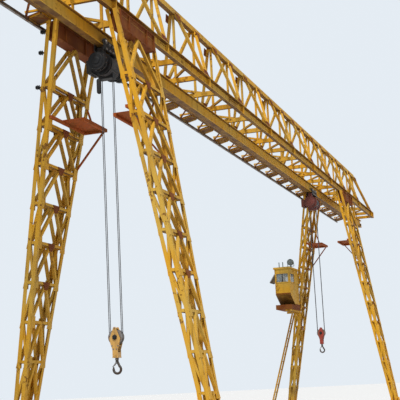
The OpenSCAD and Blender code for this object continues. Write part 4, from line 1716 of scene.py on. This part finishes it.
@dataclass
class HoistFittings(Assembly):
    """Rope turns, flanges, motor fins, boxes and wheel caps of one hoist."""

    name: str = "near"
    x: float = SIZES.near_x
    slot: Slot = Slot.BLACK
    body: Body = Body.NEAR_CARRIAGE
    axis_z: float = 8.371
    drum_r: float = 0.215
    drum_half: float = 0.32
    motor_r: float = 0.15
    motor_end: float = 0.70
    gear_r: float = 0.185
    gear_end: float = -0.54
    plate_out: float = 0.117
    wheel_x: float = 0.26
    wheel_z: float = 8.846
    pin_z: float = 8.676
    pin_nut: float = 0.026
    turn_pitch: float = 0.0165
    turn_start: float = -0.235
    turn_count: int = 28
    fin_count: int = 32
    cover: Rings = (
        (-0.004, 0.15), (0.008, 0.15), (0.014, 0.142), (0.014, 0.08), (0.03, 0.074), (0.034, 0.066),
        (0.034, 0.03), (0.028, 0.026),
    )
    fan_cover: Rings = (
        (0.0, 0.163), (0.088, 0.163), (0.099, 0.152), (0.099, 0.128), (0.094, 0.126),
        (0.094, 0.104), (0.099, 0.102), (0.099, 0.084), (0.094, 0.082), (0.094, 0.06),
        (0.099, 0.058), (0.099, 0.03), (0.096, 0.028)
    )
    wheel_cap: Rings = (
        (-0.003, 0.05), (0.008, 0.05), (0.012, 0.046), (0.012, 0.03), (0.022, 0.026), (0.024, 0.014)
    )
    gland: Rings = ((0.0, 0.014), (0.012, 0.014), (0.012, 0.011), (0.03, 0.009))

    def along(self, made: bpy.types.Object, start: float, way: float = 1.0) -> bpy.types.Object:
        """Lay a round piece on the hoist's axis.

        Args:
            made: The piece, modelled along +Z.
            start: Where its origin goes, from the hoist's middle.
            way: 1 along +X, -1 against it.

        Returns:
            The piece.
        """
        return Bench.place(made, aim((self.x + start, 0.0, self.axis_z), (way, 0.0, 0.0)))

    def ring_of_bolts(
        self, name: str, at: float, way: float, radius: float, count: int, size: float
    ) -> None:
        """Lay bolts in a circle round the hoist's axis.

        Args:
            name: The piece's name.
            at: Their place along the axis, from the hoist's middle.
            way: 1 where their heads face +X, -1 where they face -X.
            radius: Radius of the circle.
            count: How many there are.
            size: Radius of a head.
        """
        places = []
        for i in range(count):
            angle = 2 * math.pi * (i + 0.5) / count
            middle = (self.x + at, radius * math.cos(angle), self.axis_z + radius * math.sin(angle))
            places.append(aim(middle, (way, 0.0, 0.0)))
        self.fit(Bench.copies(Bench.bolt(name, size), places), Slot.STEEL, self.body)

    def drum(self) -> None:
        """Rope turns on the drum between two flanges."""
        pitch, low = self.turn_pitch, self.turn_start
        end = low + self.turn_count * pitch
        rings: list[Ring] = [(low - 0.002, self.drum_r - 0.003)]
        for i in range(self.turn_count):
            start = low + i * pitch
            rings += [(start, self.drum_r + 0.001), (start + pitch * 0.3, self.drum_r + 0.007),
                      (start + pitch * 0.7, self.drum_r + 0.007)]
        rings += [(end, self.drum_r + 0.001), (end + 0.002, self.drum_r - 0.003)]
        turns = Bench.turned(f"{self.name}_rope_turns", rings, 40)
        self.fit(self.along(turns, 0.0), Slot.ROPE, self.body)
        flange = (
            (0.0, self.drum_r - 0.004), (0.0, 0.238), (0.014, 0.238), (0.018, 0.234),
            (0.018, self.drum_r - 0.004)
        )
        both = [
            self.along(Bench.turned("flange", flange, 48), start) for start in
            (-self.drum_half - 0.006, -0.262, 0.244, self.drum_half - 0.012)
        ]
        ties = [
            Bench.place(
                Bench.block("tie", (-0.29, -0.018, 0.2165), (0.29, 0.018, 0.2245), 0.002),
                spot((self.x, 0.0, self.axis_z), math.radians(angle)),
            ) for angle in (58.0, 122.0, 238.0, 302.0)
        ]
        self.fit(Bench.join(f"{self.name}_drum_flanges", *both, *ties), self.slot, self.body)
        self.ring_of_bolts(f"{self.name}_drum_bolts", self.drum_half + 0.004, 1.0, 0.185, 12, 0.011)

    def gear_case(self) -> None:
        """Joint flange, end cover, ribs and bolts of the gear case."""
        joint = (
            (0.0, self.gear_r - 0.003), (0.0, 0.204), (0.026, 0.204), (0.026, self.gear_r - 0.003)
        )
        parts = [self.along(Bench.turned("joint", joint, 48), -0.452)]
        parts.append(self.along(Bench.turned("cover", self.cover, 40), self.gear_end, -1.0))
        rib = Bench.block(
            "rib", (-0.43, -0.005, self.gear_r - 0.004), (-0.33, 0.005, self.gear_r + 0.014), 0.002
        )
        ribs = [spot((self.x, 0.0, self.axis_z), math.radians(i * 45.0)) for i in range(8)]
        parts.append(Bench.copies(rib, ribs))
        self.fit(Bench.join(f"{self.name}_gear_case", *parts), self.slot, self.body)
        self.ring_of_bolts(f"{self.name}_gear_bolts", -0.452, -1.0, 0.194, 12, 0.0065)
        self.ring_of_bolts(f"{self.name}_cover_bolts", self.gear_end - 0.008, -1.0, 0.136, 8, 0.006)

    def motor(self) -> None:
        """Cooling fins, end shields, fan cover and terminal box of the motor."""
        fin = Bench.block(
            "fin", (0.385, -0.003, self.motor_r - 0.004), (0.60, 0.003, self.motor_r + 0.016),
            0.0012
        )
        parts = [
            Bench.copies(
                fin,
                [
                    spot((self.x, 0.0, self.axis_z), 2 * math.pi * i / self.fin_count)
                    for i in range(self.fin_count)
                ]
            )
        ]
        shield = (
            (0.0, self.motor_r - 0.003), (0.0, 0.17), (0.022, 0.17), (0.03, 0.162),
            (0.03, self.motor_r - 0.003)
        )
        parts.append(self.along(Bench.turned("shield", shield, 40), 0.352))
        shell = ((0.0, self.motor_r - 0.003), *self.fan_cover)
        parts.append(self.along(Bench.turned("shell", shell, 40), self.motor_end - 0.092))
        z = self.axis_z + self.motor_r
        parts.append(
            Bench.case(
                "box", (self.x + 0.41, -0.055, z - 0.006), (self.x + 0.55, 0.055, z + 0.06), 0.008,
                0.012
            )
        )
        self.fit(Bench.join(f"{self.name}_motor", *parts), self.slot, self.body)

    def switch_box(self) -> None:
        """Switch box on a bracket beside the drum."""
        parts = [
            Bench.case("box", (self.x - 0.2, 0.262, 8.24), (self.x + 0.2, 0.386, 8.52), 0.01, 0.02)
        ]
        for x in (-0.14, 0.14):
            parts.append(
                Bench.bar(
                    "bracket", (self.x + x, 0.10, 8.68), (self.x + x, 0.266, 8.5), 0.04, 0.008
                )
            )
        self.fit(Bench.join(f"{self.name}_switch_box", *parts), self.slot, self.body)
        places = [
            aim((self.x + dx, 0.324, 8.241), (0.0, 0.0, -1.0)) for dx in (-0.12, -0.04, 0.04, 0.12)
        ]
        self.fit(
            Bench.copies(Bench.turned(f"{self.name}_glands", self.gland, 12), places), Slot.STEEL,
            self.body
        )

    def trolley(self) -> None:
        """Wheel caps, pin nuts and spacer bolts on the trolley's side plates."""
        wheels = [
            aim((self.x + sx * self.wheel_x, sy * self.plate_out, self.wheel_z), (0.0, sy, 0.0))
            for sx, sy in CORNERS
        ]
        self.fit(
            Bench.copies(Bench.turned(f"{self.name}_wheel_caps", self.wheel_cap, 24), wheels),
            Slot.STEEL, self.body
        )
        nuts = [
            aim((self.x + sx * self.wheel_x, sy * self.plate_out, self.pin_z), (0.0, sy, 0.0))
            for sx, sy in CORNERS
        ]
        nuts += [
            aim((self.x + dx, sy * self.plate_out, z), (0.0, sy, 0.0))
            for dx in (-0.08, 0.08) for z in (8.68, 8.82) for sy in (-1, 1)
        ]
        self.fit(
            Bench.copies(Bench.bolt(f"{self.name}_pin_nuts", self.pin_nut), nuts), Slot.STEEL,
            self.body
        )
        edges = [
            Bench.block(
                "edge", (self.x - 0.375, y, 8.648), (self.x + 0.375, y + 0.024, 8.656), 0.002
            )
            for y in (self.plate_out - 0.002, -self.plate_out - 0.022)
        ]
        self.fit(Bench.join(f"{self.name}_plate_edges", *edges), Slot.BLACK, self.body)

    def build(self) -> None:
        """Make every fitting of the hoist."""
        self.drum()
        self.gear_case()
        self.motor()
        self.switch_box()
        self.trolley()


@dataclass
class BlockFittings(Assembly):
    """Sheaves, axle nuts and bolts of one hook block, and its hook's collar and latch."""

    name: str = "near"
    x: float = SIZES.near_x
    z: float = SIZES.near_block_z
    slot: Slot = Slot.BLOCK_TAN
    body: Body = Body.NEAR_BLOCK
    hook_body: Body = Body.NEAR_HOOK
    sheave_x: float = 0.035
    plate_out: float = 0.086
    foot_y: float = 0.058
    plate_bolt: float = 0.012
    bolts: Offsets = (
        (0.0, 0.178), (-0.066, -0.17), (0.066, -0.17), (-0.036, -0.235), (0.036, -0.235)
    )
    sheave_half: Rings = (
        (-0.0205, 0.06), (-0.0205, 0.147), (-0.0195, 0.1545), (-0.0140, 0.1545), (-0.0100, 0.1300),
        (-0.0060, 0.1249),
    )
    axle_nut: Rings = (
        (-0.002, 0.056), (0.005, 0.056), (0.006, 0.052), (0.006, 0.042), (0.03, 0.042),
        (0.034, 0.036)
    )
    tube: Rings = ((-0.072, 0.011), (-0.068, 0.015), (0.068, 0.015), (0.072, 0.011))
    trunnion_cap: Rings = (
        (-0.002, 0.044), (0.008, 0.044), (0.012, 0.04), (0.012, 0.022), (0.02, 0.018)
    )
    collar: Rings = (
        (-0.448, 0.03), (-0.448, 0.038), (-0.444, 0.041), (-0.424, 0.041), (-0.42, 0.038),
        (-0.42, 0.03)
    )
    latch_pin: Rings = ((-0.04, 0.006), (-0.037, 0.008), (0.037, 0.008), (0.04, 0.006))

    def sheaves(self) -> None:
        """Grooved sheaves between the plates."""
        rings = self.sheave_half + tuple(
            (-low, radius) for low, radius in reversed(self.sheave_half)
        )
        places = [
            aim((self.x + sx * self.sheave_x, 0.0, self.z), (1.0, 0.0, 0.0)) for sx in (-1, 1)
        ]
        self.fit(
            Bench.copies(Bench.turned(f"{self.name}_sheaves", rings, 64), places), Slot.STEEL,
            self.body
        )

    def plates(self) -> None:
        """Rims, axle nuts, spacer bolts and trunnion caps on the outer plates."""
        nut = Bench.turned(f"{self.name}_axle_nuts", self.axle_nut, 6)
        washers = [
            aim((self.x + sx * self.plate_out, 0.0, self.z), (sx, 0.0, 0.0)) for sx in (-1, 1)
        ]
        self.fit(Bench.copies(nut, washers), Slot.BLACK, self.body)
        heads = [
            aim((self.x + sx * self.plate_out, y, self.z + z), (sx, 0.0, 0.0))
            for sx in (-1, 1) for y, z in self.bolts
        ]
        self.fit(
            Bench.copies(Bench.bolt(f"{self.name}_plate_bolts", self.plate_bolt), heads),
            Slot.STEEL, self.body
        )
        tubes = [
            Bench.place(
                Bench.turned("tube", self.tube, 16),
                aim((self.x, y, self.z + z), (1.0, 0.0, 0.0)),
            ) for y, z in self.bolts[:3]
        ]
        caps = [
            Bench.place(
                Bench.turned("cap", self.trunnion_cap, 24),
                aim((self.x + sx * self.plate_out, 0.0, self.z - 0.352), (sx, 0.0, 0.0)),
            ) for sx in (-1, 1)
        ]
        self.fit(Bench.join(f"{self.name}_tubes_and_caps", *tubes, *caps), self.slot, self.body)
        foot = [
            Bench.block("foot", (self.x - 0.0905, side * self.foot_y - 0.005, self.z - 0.408),
                        (self.x + 0.0905, side * self.foot_y + 0.005, self.z - 0.392), 0.002)
            for side in (-1, 1)
        ]
        self.fit(Bench.join(f"{self.name}_foot_edges", *foot), self.slot, self.body)

    def hook(self) -> None:
        """Collar, latch pin and safety latch of the hook."""
        collar = Bench.place(Bench.turned("collar", self.collar, 28), spot((self.x, 0.0, self.z)))
        pin = Bench.place(
            Bench.turned("pin", self.latch_pin, 16),
            aim((self.x, 0.012, self.z - 0.495), (1.0, 0.0, 0.0)),
        )
        latch = [
            Bench.bar("latch", (self.x + sx * 0.034, 0.006, self.z - 0.487),
                      (self.x + sx * 0.018, 0.07, self.z - 0.566), 0.004, 0.016) for sx in (-1, 1)
        ]
        tongue = Bench.bar(
            "tongue", (self.x, 0.046, self.z - 0.536), (self.x, 0.098, self.z - 0.582), 0.046, 0.004
        )
        self.fit(
            Bench.join(f"{self.name}_hook_latch", collar, pin, tongue, *latch), Slot.STEEL,
            self.hook_body
        )

    def build(self) -> None:
        """Make every fitting of the hook block and its hook."""
        self.sheaves()
        self.plates()
        self.hook()


@dataclass
class RopeFalls(Assembly):
    """The rope falls of one hoist, between its carriage and its hook block."""

    name: str = "near"
    x: float = SIZES.near_x
    z: float = SIZES.near_block_z
    carriage: Body = Body.NEAR_CARRIAGE
    block: Body = Body.NEAR_BLOCK
    top: float = SIZES.rope_guide_z
    rope_x: float = 0.035
    rope_y: float = 0.133
    rope_r: float = 0.008
    sides: int = 12
    wrap_steps: int = 48

    def loop(self) -> bpy.types.Object:
        """Model one rope: down from the hoist, round its sheave and up again.

        Returns:
            The rope, with rings at its ends and round the sheave alone, so that its falls stay straight.
        """
        bpy.ops.object.select_all(action="DESELECT")
        bpy.ops.mesh.primitive_circle_add(
            vertices=self.sides, radius=self.rope_r, fill_type="NGON",
            location=(0.0, -self.rope_y, self.top)
        )
        made = Bench.settle(bpy.context.object, f"{self.name}_rope_falls")
        Bench.start(made)
        fall = self.top - self.z
        bpy.ops.mesh.extrude_region_move(TRANSFORM_OT_translate={"value": (0.0, 0.0, -fall)})
        bpy.ops.mesh.spin(
            steps=self.wrap_steps, angle=-math.pi, center=(0.0, 0.0, self.z), axis=(1.0, 0.0, 0.0)
        )
        bpy.ops.mesh.extrude_region_move(TRANSFORM_OT_translate={"value": (0.0, 0.0, fall)})
        Bench.stop()
        return Bench.smooth(made)

    def build(self) -> None:
        """Make both ropes, hanging from the carriage round the hook block, and hide the frame's own
        ropes.
        """
        places = [spot((self.x + sx * self.rope_x, 0.0, 0.0)) for sx in (-1, 1)]
        made = Bench.copies(self.loop(), places)
        self.dresser.dress(made, Slot.ROPE)
        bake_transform(made)
        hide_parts(f"{self.name}_ropes")
        LOG.info("%s: %s from %s to %s, %d faces", made.name, Slot.ROPE.value, self.carriage.value,
                 self.block.value, len(made.data.polygons))


def main() -> None:
    """Build the looks around the frame, piece by piece, and report each one."""
    logging.basicConfig(level=logging.INFO, format="%(name)s: %(message)s")
    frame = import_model()
    Studio().build()
    dresser = Dresser(frame)
    dresser.dress_nodes()
    LOG.info("dressed %d nodes", len(frame["nodes"]))
    assemblies: list[Assembly] = [
        GirderFittings(dresser), TrackFittings(dresser), LegFittings(dresser),
        BeamFittings(dresser), CabFittings(dresser), HoistFittings(dresser),
        HoistFittings(dresser, "far", SIZES.far_x, Slot.RED, Body.FAR_CARRIAGE),
        BlockFittings(dresser),
        BlockFittings(
            dresser, "far", SIZES.far_x, SIZES.far_block_z, Slot.BLOCK_RED, Body.FAR_BLOCK,
            Body.FAR_HOOK
        ),
        RopeFalls(dresser),
        RopeFalls(dresser, "far", SIZES.far_x, SIZES.far_block_z, Body.FAR_CARRIAGE, Body.FAR_BLOCK)
    ]
    for assembly in assemblies:
        assembly.build()


if __name__ == "__main__":
    main()
